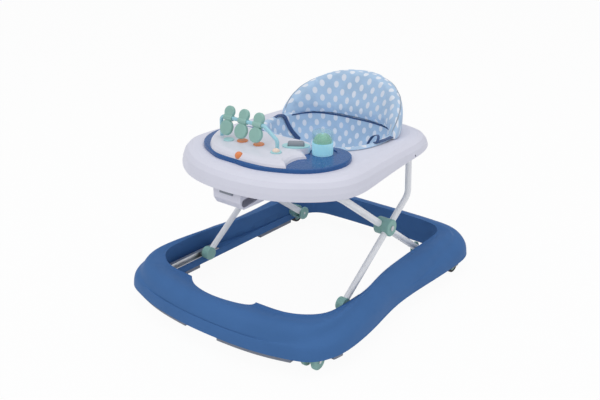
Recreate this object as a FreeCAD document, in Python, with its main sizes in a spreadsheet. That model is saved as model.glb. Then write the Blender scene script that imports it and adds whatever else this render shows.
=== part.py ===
"""Baby walker: floor ring on wheels, folding cross frame, play tray and padded seat.

Frame: +X is the sitting child's left, -Y is the front (toys), +Z is up.
The origin is on the floor, at the centre of the floor ring.
"""
import FreeCAD
import Part
import Sketcher
import math
import os
from FreeCAD import Placement, Rotation, Vector

doc = FreeCAD.newDocument("BabyWalker")

# ---------------------------------------------------------------- sizes
SIZES = (
    ("BaseLength", 707, "floor ring, front rim to rear rim"),
    ("BaseWidth", 570, "floor ring at its widest"),
    ("BaseHeight", 96, "top of the floor ring"),
    ("RimHeight", 34, "underside of the floor ring's outer rim"),
    ("BaseWall", 3, "wall of the floor ring moulding"),
    ("BandFront", 77.5, "floor ring, rim to opening at the front corners"),
    ("BandRear", 60, "floor ring, rim to opening at the rear"),
    ("ScoopDepth", 31.5, "foot scoop cut into the front band"),
    ("ScoopWidth", 220, "foot scoop, notch to notch"),
    ("OpeningWidth", 468, "opening of the floor ring at the track pockets"),
    ("InnerWidth", 410, "opening of the floor ring between the track shelves"),
    ("CreaseDepth", 6, "step of the swoosh on the floor ring"),
    ("RailLength", 160, "guide rail"),
    ("RailWidth", 9, "guide rail"),
    ("RailHeight", 16, "guide rail"),
    ("RailWall", 1.6, "steel of the guide rail"),
    ("RailRear", -75, "rear end of the guide rail"),
    ("SliderLength", 26, "slider block in the guide rail"),
    ("SliderGap", 0.4, "clearance of the slider block in the rail"),
    ("PivotY", 208.5, "rear leg pivot, from the origin"),
    ("PivotHeight", 60, "rear leg pivot and front foot above the floor"),
    ("LinkLength", 202.7, "leg pivot to hub, the same for both legs"),
    ("LegAngle", 36.07, "leg slope in the highest setting"),
    ("FrontTube", 14, "diameter of the front leg tube"),
    ("RearTube", 16, "diameter of the rear leg tube"),
    ("TubeWall", 1.5, "steel of the leg tubes"),
    ("LegSpacing", 392, "front leg tubes, centre to centre"),
    ("LegGap", 1, "between the crossing tubes"),
    ("TrayPivotRise", 148.7, "hub to tray pivot, upward"),
    ("TrayPivotRun", 70.3, "hub to tray pivot, rearward"),
    ("ElbowRise", 54.7, "hub to the elbow of the front leg, upward"),
    ("ElbowRadius", 24, "bend of the front leg"),
    ("BarReach", 214.6, "hub to the adjuster crossbar"),
    ("CornerRadius", 40, "bend between rear leg and crossbar"),
    ("HubDiameter", 38, "cross hub"),
    ("HubWall", 3, "hub material beyond the tube"),
    ("FootDiameter", 30, "front foot fitting"),
    ("PinDiameter", 6, "hinge pins of the frame"),
    ("PinGap", 0.05, "radial running clearance of the hinge pins"),
    ("FoldTravel", 31, "degrees that the rear legs fold down"),
    ("TrayTilt", 5, "degrees that the tray noses down when folded"),
    ("WheelDiameter", 40, "rear wheel"),
    ("WheelWidth", 16, "rear wheel"),
    ("TyreDepth", 5, "rubber on the rear wheel"),
    ("WheelTrack", 480, "rear wheels, centre to centre"),
    ("WheelY", 261.5, "rear wheel axle, from the origin"),
    ("AxleDiameter", 4, "wheel axles"),
    ("AxleGap", 0.05, "radial running clearance of the wheels"),
    ("ForkGap", 1, "side clearance of the wheels"),
    ("ForkWall", 3, "walls of the wheel brackets"),
    ("CasterDiameter", 36, "front caster wheel"),
    ("CasterWheelWidth", 10, "front caster wheel"),
    ("CasterTrack", 468, "front casters, centre to centre"),
    ("CasterY", -280, "front caster stem, from the origin"),
    ("CasterTrail", 10, "stem to caster axle"),
    ("StemDiameter", 10, "front caster stem"),
    ("StemGap", 0.1, "radial clearance of the caster stem"),
    ("SocketWall", 6, "wall of the caster socket"),
    ("SocketHeight", 48, "underside of the caster socket"),
    ("GripHeight", 22, "underside of the stair stop strips"),
    ("GripWidth", 12, "stair stop strips"),
    ("TrayLength", 529.5, "tray, front rim to rear rim"),
    ("TrayWidth", 454, "tray at its widest"),
    ("TrayFront", -267.5, "front rim of the tray, from the origin"),
    ("TrayRim", 315, "tray rim at the front"),
    ("TrayRimRise", 9, "tray rim, rear above front"),
    ("TrayTop", 354, "top face of the tray"),
    ("TrayWall", 3, "wall of the tray moulding"),
    ("SeatWidth", 280, "seat opening of the tray"),
    ("SeatFront", -28.5, "front edge of the seat opening"),
    ("SeatLength", 221.5, "seat opening, front to rear"),
    ("CollarDepth", 14, "collar under the seat opening"),
    ("AdjusterWidth", 74, "height adjuster housing"),
    ("AdjusterWall", 4, "cheeks of the height adjuster"),
    ("SlotGap", 0.8, "clearance of the crossbar in its slot"),
    ("LeverLength", 34, "height release lever"),
    ("PlayWidth", 352, "toy tray"),
    ("PlayDepth", 191, "toy tray, front to rear"),
    ("PlayFront", 49, "tray rim to the front of the toy tray"),
    ("PlayHeight", 9, "toy tray"),
    ("ConsoleHeight", 13, "toy console above the toy tray"),
    ("ButtonDiameter", 23, "flat toy buttons"),
    ("ButtonTravel", 2, "travel of the toy buttons"),
    ("ButtonRise", 3, "toy buttons above the console"),
    ("ButtonGap", 0.3, "radial clearance of the toy buttons"),
    ("BarHeight", 43, "paddle bar above the console"),
    ("BarSpan", 155, "paddle bar, foot to foot"),
    ("BarThickness", 8, "paddle bar"),
    ("PaddleTilt", 20, "degrees that the paddles lean in the rest position"),
    ("PaddleWidth", 33, "lower lobe of a paddle"),
    ("PaddleLower", 38, "paddle below the bar"),
    ("PaddleUpper", 26, "width of a paddle's upper lobe"),
    ("PaddleRise", 25, "paddle, bar centre to its top"),
    ("PaddleThickness", 9, "paddle"),
    ("PaddleSpacing", 41, "paddles along the bar"),
    ("DishTurn", 34, "degrees that the oval dish is turned towards the seat"),
    ("SleeveDiameter", 13, "sleeve of a paddle on the bar"),
    ("PotDiameter", 44, "pot of the spinning ball"),
    ("PotHeight", 26, "pot of the spinning ball"),
    ("GlassHeight", 22, "clear cylinder over the pot"),
    ("GlassWall", 1.8, "wall of the clear cylinder"),
    ("BallDiameter", 39, "ribbed spinning ball"),
    ("BackWidth", 344, "seat back"),
    ("BackDepth", 128, "seat back, wing to rear"),
    ("BackHeight", 113, "seat back above the tray"),
    ("BackThickness", 22, "padding of the seat back"),
    ("BackLean", 12, "rearward lean of the seat back at its top"),
    ("BackFullness", 2.3, "squareness of the seat back's top edge, 2 is an ellipse"),
    ("BackY", 106, "wing line of the seat back, from the origin"),
    ("SlingDepth", 106, "seat sling below the tray top"),
    ("SlingThickness", 5, "padded fabric of the sling"),
    ("LegHole", 84, "leg holes of the sling"),
    ("SoftGap", 0.3, "clearance round soft parts"),
    ("StrapWidth", 14, "seat straps"),
    ("StrapThickness", 2, "seat straps"),
)

sheet = doc.addObject("Spreadsheet::Sheet", "Sizes")
for row, (alias, value, meaning) in enumerate(SIZES, start=1):
    sheet.set("A%d" % row, alias)
    sheet.set("B%d" % row, str(value))
    sheet.set("C%d" % row, meaning)
    sheet.setAlias("B%d" % row, alias)
doc.recompute()


def size(alias):
    return float(sheet.get(alias))


UP = Vector(0, 0, 1)
ACROSS = Vector(1, 0, 0)
SIDES = (("left", 1), ("right", -1))
pieces = []


# ---------------------------------------------------------------- helpers
def keep(feature, label):
    """Register a finished object as a sub-part."""
    feature.Label = label
    pieces.append(feature)
    return feature


def piece(label, shape):
    """A sub-part whose form is made directly with Part's functions."""
    feature = doc.addObject("Part::Feature", label)
    feature.Shape = shape
    return keep(feature, label)


def rod(radius, start, end):
    """Solid round bar between two points."""
    run = end - start
    return Part.makeCylinder(radius, run.Length, start, run)


def block(x0, x1, y0, y1, z0, z1):
    """Box between two corners, in any order along each axis."""
    low = Vector(min(x0, x1), min(y0, y1), min(z0, z1))
    return Part.makeBox(abs(x1 - x0), abs(y1 - y0), abs(z1 - z0), low)


def mirrored(shape):
    """The same form on the other side of the walker."""
    return shape.mirror(Vector(0, 0, 0), ACROSS)


def on_side(shape, side):
    """A form drawn on the left (+X), placed on the named side."""
    return shape if side > 0 else mirrored(shape)


def full_ring(half):
    """Half outline from front centre to rear centre, completed by its mirror image."""
    return half + [Vector(-p.x, p.y, p.z) for p in reversed(half[1:-1])]


def ring_wire(half):
    """Closed smooth wire through a mirrored half outline, one edge on each side of the middle plane."""
    curve = Part.BSplineCurve()
    curve.interpolate(Points=full_ring(half), PeriodicFlag=True)
    middle = curve.parameter(half[-1])
    near = curve.toShape(curve.FirstParameter, middle)
    return Part.Wire([near, curve.toShape(middle, curve.LastParameter)])


def scaled_outline(shape, half_width, front, rear):
    """Unit half outline (x 0..1, y 0 front..1 rear) at its real size."""
    return [Vector(x * half_width, front + y * (rear - front), 0) for x, y in shape]


def moved_out(half, distance):
    """Half outline shifted outward along its normals (inward when negative)."""
    ring = full_ring(half)
    count = len(ring)
    shifted = []
    for index in range(len(half)):
        tangent = ring[(index + 1) % count] - ring[index - 1]
        normal = Vector(tangent.y, -tangent.x, 0).normalize()
        shifted.append(ring[index] + normal * distance)
    return shifted


def at_height(half, z):
    return [Vector(p.x, p.y, z) for p in half]


def prism(half, z0, z1):
    """Upright solid over a mirrored half outline."""
    face = Part.Face(ring_wire(at_height(half, z0)))
    return face.extrude(UP * (z1 - z0))


def polar(origin, reach, degrees):
    """Point in the YZ plane; angles rise from the walker's rear direction."""
    turn = math.radians(degrees)
    return Vector(origin.x, origin.y + reach * math.cos(turn), origin.z + reach * math.sin(turn))


# ---------------------------------------------------------------- frame geometry
half_length = size("BaseLength") / 2
leg_x = size("LegSpacing") / 2
rear_leg_x = leg_x - (size("FrontTube") + size("RearTube")) / 2 - size("LegGap")
pivot = Vector(0, size("PivotY"), size("PivotHeight"))
hub = polar(pivot, size("LinkLength"), 180 - size("LegAngle"))
foot = polar(hub, size("LinkLength"), 180 + size("LegAngle"))
tray_pivot = hub + Vector(0, size("TrayPivotRun"), size("TrayPivotRise"))
crossbar = polar(hub, size("BarReach"), 180 - size("LegAngle"))
inner_x = size("InnerWidth") / 2
shelf_z = size("PivotHeight") - size("RailHeight") / 2
rail_x = inner_x + size("SoftGap")


# ---------------------------------------------------------------- floor ring
RIM_SHAPE = ((0, 0), (0.28, 0.005), (0.537, 0.020), (0.754, 0.045), (0.884, 0.071), (0.972, 0.125),
             (1, 0.231), (0.972, 0.344), (0.926, 0.472), (0.919, 0.585), (0.933, 0.712), (0.940, 0.840),
             (0.905, 0.931), (0.807, 0.978), (0.614, 0.994), (0.316, 0.999), (0, 1))
TOP_OPENING = ((0, 0), (0.258, 0), (0.481, 0.004), (0.706, 0.016), (0.853, 0.046), (0.968, 0.100),
               (1, 0.175), (0.996, 0.327), (0.940, 0.450), (0.905, 0.590), (0.889, 0.748), (0.878, 0.880),
               (0.842, 0.945), (0.751, 0.982), (0.580, 0.996), (0.300, 1), (0, 1))
# place across the band (0 rim, 1 opening) and strength of the swoosh at each outline point
CREASE = ((0.12, 1), (0.12, 1), (0.15, 1), (0.21, 1), (0.31, 1), (0.42, 1), (0.55, 0.8), (0.75, 0.3),
          (0.4, 0), (0.14, 0.5), (0.26, 1), (0.39, 1), (0.5, 0.8), (0.75, 0.3), (0.8, 0), (0.8, 0), (0.8, 0))
FRONT_CREST = (0.6, 0.6, 0.65, 0.75, 0.9)
BAND_CURVE = 2.6

rim_half = scaled_outline(RIM_SHAPE, size("BaseWidth") / 2, -half_length, half_length)
opening_front = -half_length + size("BandFront")
opening_rear = half_length - size("BandRear")
top_half = scaled_outline(TOP_OPENING, size("OpeningWidth") / 2, opening_front, opening_rear)


def band_height(share, crest):
    """Height of the ring's skin across its band: steep at the rim, flat at the opening."""
    reach = min(1, share / crest)
    rise = math.sqrt(1 - (1 - reach) ** BAND_CURVE)
    return size("RimHeight") + (size("BaseHeight") - size("RimHeight")) * rise


def ring_skin(inset):
    """Solid under the ring's skin, or under its inner face when inset by the wall."""
    rim = moved_out(rim_half, -inset)
    steps = (
        lambda crease: 0,
        lambda crease: 0.03,
        lambda crease: crease / 2,
        lambda crease: crease - 0.04,
        lambda crease: crease + 0.04,
        lambda crease: (1 + crease) / 2,
        lambda crease: 1,
    )
    wires = []
    for level, share_at in enumerate(steps):
        points = []
        for index, (outer, inner) in enumerate(zip(rim, top_half)):
            place, strength = CREASE[index]
            crest = FRONT_CREST[index] if index < len(FRONT_CREST) else 1
            share = share_at(place)
            lower = size("CreaseDepth") * strength if level in (2, 3) else 0
            spot = outer + (inner - outer) * share
            points.append(Vector(spot.x, spot.y, band_height(share, crest) - lower - inset))
        wires.append(ring_wire(points))
    return Part.makeLoft(wires, True, False)


def opening(margin):
    """Opening of the ring, with a shelf on each side below the tracks."""
    plan = moved_out(top_half, margin)
    upper = prism(plan, shelf_z - margin, tall)
    lower = prism(plan, 0, shelf_z - margin)
    reach = inner_x + margin
    return upper.fuse(lower.common(block(-reach, reach, -half_length, half_length, 0, tall)))


def scoop(margin):
    """Bow of the foot scoop in the front band, from the floor up."""
    reach = size("ScoopWidth") / 2 + margin
    back = opening_front + size("BandFront") / 4
    bow = Part.Arc(Vector(-reach, back, 0), Vector(0, opening_front - size("ScoopDepth") - margin, 0),
                   Vector(reach, back, 0)).toShape()
    chord = Part.LineSegment(Vector(reach, back, 0), Vector(-reach, back, 0)).toShape()
    return Part.Face(Part.Wire([bow, chord])).extrude(UP * 2 * size("BaseHeight"))


ring_solid = ring_skin(0)
wall = size("BaseWall")
tall = 2 * size("BaseHeight")
ring_cavity = ring_skin(wall)
ring_cavity = ring_cavity.cut(opening(wall)).cut(scoop(wall))

# ribs and strips stand on the same plan forms
strip_width = size("GripWidth")
front_strip_ends = (45, 213)
strip_inset = 8
side_strip = (82, 205)
inner_pad = (-180, -135)
corner_pad = (-252, -228)


def strip_plan(side, z0, z1):
    """The three stair stop runs of one side between two heights."""
    band = prism(moved_out(rim_half, -strip_inset), z0, z1)
    band = band.cut(prism(moved_out(rim_half, -strip_inset - strip_width), z0, z1))
    front = band.common(block(front_strip_ends[0], front_strip_ends[1], -half_length, opening_front, z0, z1))
    corner = band.common(block(inner_x, half_length, corner_pad[0], corner_pad[1], z0, z1))
    x0 = inner_x + 2 * wall
    long_run = block(x0, x0 + strip_width, side_strip[0], side_strip[1], z0, z1)
    inner = block(x0, x0 + strip_width, inner_pad[0], inner_pad[1], z0, z1)
    return [on_side(run, side) for run in (front, long_run, corner, inner)]


def caster_stem(side):
    return Vector(side * size("CasterTrack") / 2, size("CasterY"), 0)


socket_radius = size("StemDiameter") / 2 + size("SocketWall")
stem_top = size("BaseHeight") - 4 * size("BaseWall") - size("SocketWall")
shell = ring_solid.cut(opening(0)).cut(scoop(0))
shell = shell.cut(ring_cavity)
for name, side in SIDES:
    for rib in strip_plan(side, size("RimHeight") + wall, tall):
        shell = shell.fuse(rib.common(ring_cavity))
    stem = caster_stem(side)
    boss = rod(socket_radius, stem + UP * size("SocketHeight"), stem + UP * tall)
    shell = shell.fuse(boss.common(ring_cavity))
    bore = rod(size("StemDiameter") / 2 + size("StemGap"), stem, stem + UP * (stem_top + wall))
    shell = shell.cut(bore)
base_shell = piece("base_shell", shell.removeSplitter())

grip_low = size("GripHeight")
grip_top = size("RimHeight") + wall
runs = [strip_plan(side, grip_low, grip_top) for name, side in SIDES]
piece("front_grip_strips", Part.makeCompound([run[0] for run in runs]))
piece("side_grip_strips", Part.makeCompound([run[1] for run in runs]))
piece("corner_grip_pads", Part.makeCompound([pad for run in runs for pad in run[2:]]))


# ---------------------------------------------------------------- guide rails and sliders
def bound_box(name, length, width, height, place):
    """Part::Box whose sizes are expressions on the sheet."""
    box = doc.addObject("Part::Box", name)
    box.setExpression("Length", length)
    box.setExpression("Width", width)
    box.setExpression("Height", height)
    box.Placement = Placement(place, Rotation())
    return box


def cut_of(name, base, tool):
    cut = doc.addObject("Part::Cut", name)
    cut.Base = base
    cut.Tool = tool
    return cut


rail_front = size("RailRear") - size("RailLength")
for name, side in SIDES:
    near = rail_x if side > 0 else -rail_x - size("RailWidth")
    channel = bound_box(name + "_rail_bar", "Sizes.RailWidth", "Sizes.RailLength", "Sizes.RailHeight",
                        Vector(near, rail_front, shelf_z))
    mouth = near - size("RailWall") if side > 0 else near + size("RailWall")
    groove = bound_box(name + "_rail_groove", "Sizes.RailWidth", "Sizes.RailLength",
                       "Sizes.RailHeight - 2 * Sizes.RailWall",
                       Vector(mouth, rail_front, shelf_z + size("RailWall")))
    keep(cut_of(name + "_rail", channel, groove), name + "_guide_rail")

fit_gap = size("SliderGap")
pin_radius = size("PinDiameter") / 2
pin_bore = pin_radius + size("PinGap")
pin_root = leg_x - size("PinDiameter") / 2
for name, side in SIDES:
    deep = rail_x + size("RailWidth") - size("RailWall") - fit_gap
    half = size("SliderLength") / 2
    low = size("PivotHeight") - size("RailHeight") / 2 + size("RailWall") + fit_gap
    high = 2 * size("PivotHeight") - low
    shoe = block(rail_x, deep, foot.y - half, foot.y + half, low, high)
    stub = rod(pin_radius, Vector(pin_root, foot.y, foot.z), Vector(rail_x, foot.y, foot.z))
    piece(name + "_rail_slider", on_side(shoe.fuse(stub), side))


# ---------------------------------------------------------------- cross frame tubes
def pipe_path(points, radius):
    """Straight runs joined by tangent arcs of one radius."""
    edges = []
    start = points[0]
    for before, corner, after in zip(points, points[1:], points[2:]):
        arrive = (corner - before).normalize()
        leave = (after - corner).normalize()
        turn = arrive.getAngle(leave)
        reach = radius * math.tan(turn / 2)
        first = corner - arrive * reach
        last = corner + leave * reach
        inward = (leave - arrive).normalize()
        middle = corner + inward * (radius / math.cos(turn / 2) - radius)
        edges.append(Part.LineSegment(start, first).toShape())
        edges.append(Part.Arc(first, middle, last).toShape())
        start = last
    edges.append(Part.LineSegment(start, points[-1]).toShape())
    return Part.Wire(edges)


def swept(path, radius):
    start = path.Edges[0].Vertexes[0].Point
    heading = path.Edges[0].tangentAt(path.Edges[0].FirstParameter)
    ring = Part.Wire(Part.makeCircle(radius, start, heading))
    return path.makePipeShell([ring], True, False)


def tube(points, bend, diameter, wall):
    """Bent tube with open bore."""
    path = pipe_path(points, bend)
    return swept(path, diameter / 2).cut(swept(path, diameter / 2 - wall))


def solid_tube(points, bend, diameter):
    return swept(pipe_path(points, bend), diameter / 2)


def at_x(point, x):
    return Vector(x, point.y, point.z)


front_radius = size("FrontTube") / 2
rear_radius = size("RearTube") / 2
end_margin = size("PinDiameter")
leg_line = (hub - foot).normalize()
elbow = hub + leg_line * (size("ElbowRise") / leg_line.z)
foot_end = foot + leg_line * (pin_bore + size("TubeWall"))
tray_line = (tray_pivot - elbow).normalize()
head_end = tray_pivot + tray_line * (pin_radius + 2 * size("TubeWall"))
front_points = [at_x(point, leg_x) for point in (foot_end, elbow, head_end)]

rear_line = (crossbar - pivot).normalize()
tail_end = pivot - rear_line * (pin_radius + 2 * size("TubeWall"))
rear_points = [at_x(tail_end, rear_leg_x), at_x(crossbar, rear_leg_x),
               at_x(crossbar, -rear_leg_x), at_x(tail_end, -rear_leg_x)]

far = inner_x + size("BandFront")
hub_bore = rod(pin_bore, at_x(hub, 0), at_x(hub, far))
head_bore = rod(pin_bore, at_x(tray_pivot, 0), at_x(tray_pivot, far))
for name, side in SIDES:
    leg = tube(front_points, size("ElbowRadius"), size("FrontTube"), size("TubeWall"))
    piece(name + "_front_leg_tube", on_side(leg.cut(hub_bore).cut(head_bore), side))

frame = tube(rear_points, size("CornerRadius"), size("RearTube"), size("TubeWall"))
frame = frame.cut(rod(pin_radius, at_x(hub, -far), at_x(hub, far)))
frame = frame.cut(rod(pin_bore, at_x(pivot, -far), at_x(pivot, far)))
piece("rear_leg_frame", frame)

# ---------------------------------------------------------------- hubs, rivets and foot fittings
hub_radius = size("HubDiameter") / 2
mid_x = rear_leg_x + rear_radius + size("LegGap") / 2
hub_in = rear_leg_x - rear_radius - size("HubWall")
hub_out = leg_x + front_radius + size("HubWall")
face_gap = size("SoftGap") / 2
front_core = solid_tube(front_points, size("ElbowRadius"), size("FrontTube"))
rear_core = solid_tube(rear_points, size("CornerRadius"), size("RearTube"))
cap_round = size("HubWall") * 0.8


def rounded_drum(radius, centre, x0, x1, rounded):
    """Drum along X with one end edge rounded."""
    drum = rod(radius, at_x(centre, x0), at_x(centre, x1))
    edge = [e for e in drum.Edges if len(e.Vertexes) == 1 and abs(e.CenterOfMass.x - rounded) < 0.01]
    return drum.makeFillet(cap_round, edge)


for name, side in SIDES:
    inner_drum = rounded_drum(hub_radius, hub, hub_in, mid_x - face_gap, hub_in)
    inner_drum = inner_drum.cut(rear_core).cut(rod(pin_radius, at_x(hub, 0), at_x(hub, far)))
    piece(name + "_hub_inner", on_side(inner_drum, side))
    outer_drum = rounded_drum(hub_radius, hub, mid_x + face_gap, hub_out, hub_out)
    outer_drum = outer_drum.cut(front_core).cut(hub_bore)
    piece(name + "_hub_outer", on_side(outer_drum, side))
    fitting = rounded_drum(size("FootDiameter") / 2, foot, leg_x - front_radius - size("HubWall"),
                           inner_x - size("SoftGap"), leg_x - front_radius - size("HubWall"))
    fitting = fitting.cut(front_core)
    stub_hole = rod(pin_bore, at_x(foot, pin_root - size("SoftGap")), at_x(foot, far))
    piece(name + "_foot_fitting", on_side(fitting.cut(stub_hole), side))

head_radius = size("PinDiameter")
head_height = size("TubeWall")


def headed_pin(centre, x0, x1):
    """Hinge pin with a flat head at both ends."""
    shank = rod(pin_radius, at_x(centre, x0), at_x(centre, x1))
    first = rod(head_radius, at_x(centre, x0 - head_height), at_x(centre, x0))
    last = rod(head_radius, at_x(centre, x1), at_x(centre, x1 + head_height))
    return shank.fuse([first, last])


rivet = headed_pin(hub, hub_in, hub_out + face_gap)
piece("hub_rivets", Part.makeCompound([on_side(rivet, side) for name, side in SIDES]))

# ---------------------------------------------------------------- rear leg pivots
ear = size("AdjusterWall")
ear_in = rear_leg_x - rear_radius - size("ForkGap")
ear_out = rear_leg_x + rear_radius + size("ForkGap")
bracket_radius = 2 * rear_radius
floor_top = frame.BoundBox.ZMin - size("ForkGap")
for name, side in SIDES:
    cheek = rod(bracket_radius, at_x(pivot, ear_in - ear), at_x(pivot, ear_in))
    lug = rod(bracket_radius, at_x(pivot, ear_out), at_x(pivot, inner_x + wall))
    sole = block(ear_in - ear, inner_x + wall, pivot.y - rear_radius, pivot.y + bracket_radius / 2,
                 floor_top - ear, floor_top)
    knuckle = cheek.fuse([lug, sole]).common(opening(0))
    knuckle = knuckle.cut(rod(pin_radius, at_x(pivot, 0), at_x(pivot, far)))
    piece(name + "_rear_pivot_bracket", on_side(knuckle, side))
pivot_pin = rod(pin_radius, at_x(pivot, ear_in - ear), at_x(pivot, ear_out + ear))
piece("rear_pivot_pins", Part.makeCompound([on_side(pivot_pin, side) for name, side in SIDES]))

# ---------------------------------------------------------------- rear wheels
axle_radius = size("AxleDiameter") / 2
wheel_radius = size("WheelDiameter") / 2
half_wheel = size("WheelWidth") / 2
fork_in = half_wheel + size("ForkGap")
fork_out = fork_in + size("ForkWall")
fork_top = size("WheelDiameter") + 2 * size("ForkGap")


def bind_circle(sketch, index, radius):
    """Centre a circle on the sketch origin and bind its radius to the sheet."""
    sketch.addConstraint(Sketcher.Constraint("Coincident", index, 3, -1, 1))
    number = sketch.addConstraint(Sketcher.Constraint("Radius", index, 1))
    sketch.setExpression("Constraints[%d]" % number, radius)


def wheel_body(label, inner, outer, width, centre, round_edge):
    """Ring on the X axis, turned from a sketched half section with rounded edges."""
    body = doc.addObject("PartDesign::Body", label)
    plane = [f for f in body.Origin.OriginFeatures if f.Role == "YZ_Plane"][0]
    sketch = body.newObject("Sketcher::SketchObject", label + "_faces")
    sketch.AttachmentSupport = [(plane, "")]
    sketch.MapMode = "FlatFace"
    for radius in (outer, inner):
        index = sketch.addGeometry(Part.Circle(Vector(0, 0, 0), UP, 1), False)
        bind_circle(sketch, index, radius)
    pad = body.newObject("PartDesign::Pad", label + "_pad")
    pad.Profile = sketch
    pad.Midplane = True
    pad.setExpression("Length", width)
    doc.recompute()
    rims = ["Edge%d" % (n + 1) for n, e in enumerate(pad.Shape.Edges)
            if len(e.Vertexes) == 1 and abs(e.Curve.Radius - max(c.Curve.Radius for c in pad.Shape.Edges
                                                                 if len(c.Vertexes) == 1)) < 0.01]
    fillet = body.newObject("PartDesign::Fillet", label + "_round")
    fillet.Base = (pad, rims)
    fillet.setExpression("Radius", round_edge)
    body.Tip = fillet
    body.Placement = Placement(centre, Rotation())
    return keep(body, label)


for name, side in SIDES:
    centre = Vector(side * size("WheelTrack") / 2, size("WheelY"), wheel_radius)
    wheel_body(name + "_rear_wheel", "Sizes.AxleDiameter / 2 + Sizes.AxleGap",
               "Sizes.WheelDiameter / 2 - Sizes.TyreDepth", "Sizes.WheelWidth - 2 * Sizes.ForkGap",
               centre, "Sizes.ForkGap")
    wheel_body(name + "_rear_tyre", "Sizes.WheelDiameter / 2 - Sizes.TyreDepth",
               "Sizes.WheelDiameter / 2", "Sizes.WheelWidth", centre, "Sizes.TyreDepth / 2")
    fork = rod(wheel_radius * 0.8, centre - ACROSS * fork_out, centre + ACROSS * fork_out)
    cap = block(centre.x - fork_out, centre.x + fork_out, centre.y - wheel_radius * 0.8,
                centre.y + wheel_radius * 0.8, wheel_radius, fork_top + size("ForkWall"))
    well = block(centre.x - fork_in, centre.x + fork_in, centre.y - wheel_radius * 2,
                 centre.y + wheel_radius * 2, 0, fork_top)
    foot_cut = block(centre.x - fork_out, centre.x + fork_out, centre.y - wheel_radius,
                     centre.y + wheel_radius, 0, wheel_radius * 0.7)
    post = rod(size("StemDiameter"), at_x(centre, centre.x), at_x(centre, centre.x) + UP * tall)
    post = post.cut(block(centre.x - tall, centre.x + tall, centre.y - tall, centre.y + tall,
                          0, fork_top + size("ForkWall")))
    post = post.common(ring_cavity)
    fork = fork.fuse(cap).cut(well).cut(foot_cut).fuse(post)
    fork = fork.cut(rod(axle_radius, centre - ACROSS * fork_out, centre + ACROSS * fork_out))
    piece(name + "_rear_wheel_bracket", fork)
axles = []
for name, side in SIDES:
    centre = Vector(side * size("WheelTrack") / 2, size("WheelY"), wheel_radius)
    axles.append(rod(axle_radius, centre - ACROSS * fork_out, centre + ACROSS * fork_out))
piece("rear_wheel_axles", Part.makeCompound(axles))

# ---------------------------------------------------------------- front casters
caster_radius = size("CasterDiameter") / 2
stem_radius = size("StemDiameter") / 2
neck = size("CasterWheelWidth") * 0.7
caster_gap = size("ForkGap") * 0.8
flange_top = size("SocketHeight") - size("SoftGap")
for name, side in SIDES:
    stem = caster_stem(side)
    axle = stem + Vector(0, size("CasterTrail"), caster_radius)
    core = rod(caster_radius * 0.5, axle - ACROSS * neck, axle + ACROSS * neck)
    web = block(stem.x - neck, stem.x + neck, stem.y - stem_radius, axle.y + caster_radius * 0.5,
                axle.z, flange_top)
    flange = rod(socket_radius + size("ForkWall"), stem + UP * (size("CasterDiameter") + size("ForkWall")),
                 stem + UP * flange_top)
    post = rod(stem_radius, stem + UP * flange_top, stem + UP * stem_top)
    fork = core.fuse([web, flange, post])
    reach = neck + caster_gap + size("CasterWheelWidth") + caster_gap
    fork = fork.cut(rod(axle_radius, axle - ACROSS * reach, axle + ACROSS * reach))
    piece(name + "_caster_fork", fork)
    shaft = rod(axle_radius, axle - ACROSS * reach, axle + ACROSS * reach)
    cap_out = rod(axle_radius * 1.8, axle + ACROSS * reach, axle + ACROSS * (reach + 1))
    cap_in = rod(axle_radius * 1.8, axle - ACROSS * (reach + 1), axle - ACROSS * reach)
    piece(name + "_caster_axle", shaft.fuse([cap_out, cap_in]))
    offset = neck + caster_gap + size("CasterWheelWidth") / 2
    for place, shift in (("outer", side * offset), ("inner", -side * offset)):
        wheel_body("%s_caster_%s_wheel" % (name, place), "Sizes.AxleDiameter / 2 + Sizes.AxleGap",
                   "Sizes.CasterDiameter / 2", "Sizes.CasterWheelWidth", axle + ACROSS * shift,
                   "Sizes.CasterWheelWidth / 4")

# ---------------------------------------------------------------- tray
TRAY_SHAPE = ((0, 0), (0.207, 0.006), (0.485, 0.038), (0.705, 0.094), (0.863, 0.155), (0.943, 0.202),
              (0.995, 0.260), (1, 0.384), (0.978, 0.505), (0.962, 0.618), (0.952, 0.713), (0.930, 0.798),
              (0.881, 0.864), (0.793, 0.925), (0.639, 0.968), (0.396, 0.992), (0, 1))
TRAY_EDGE = ((1.5, 0.25), (6, 0.58), (14, 0.82), (26, 0.95), (42, 1))
SEAT_SHAPE = ((0, 0), (0.43, 0.012), (0.785, 0.092), (0.97, 0.287), (1, 0.535), (0.943, 0.76),
              (0.75, 0.92), (0.39, 0.99), (0, 1))

tray_front = size("TrayFront")
tray_rear = tray_front + size("TrayLength")
tray_half = scaled_outline(TRAY_SHAPE, size("TrayWidth") / 2, tray_front, tray_rear)
seat_rear = size("SeatFront") + size("SeatLength")
seat_half = scaled_outline(SEAT_SHAPE, size("SeatWidth") / 2, size("SeatFront"), seat_rear)
tray_skirt = size("TrayTop") - size("TrayRim")
tray_wall = size("TrayWall")


def tray_skin(inset, bottom):
    """Solid under the tray's skin: steep at the rim, rounding over to a flat top."""
    wires = [ring_wire(at_height(moved_out(tray_half, -inset), bottom))]
    wires.append(ring_wire(at_height(moved_out(tray_half, -inset), size("TrayRim") - inset)))
    for step, rise in TRAY_EDGE:
        level = size("TrayRim") + tray_skirt * rise - inset
        wires.append(ring_wire(at_height(moved_out(tray_half, -inset - step), level)))
    return Part.makeLoft(wires, True, True)


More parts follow.
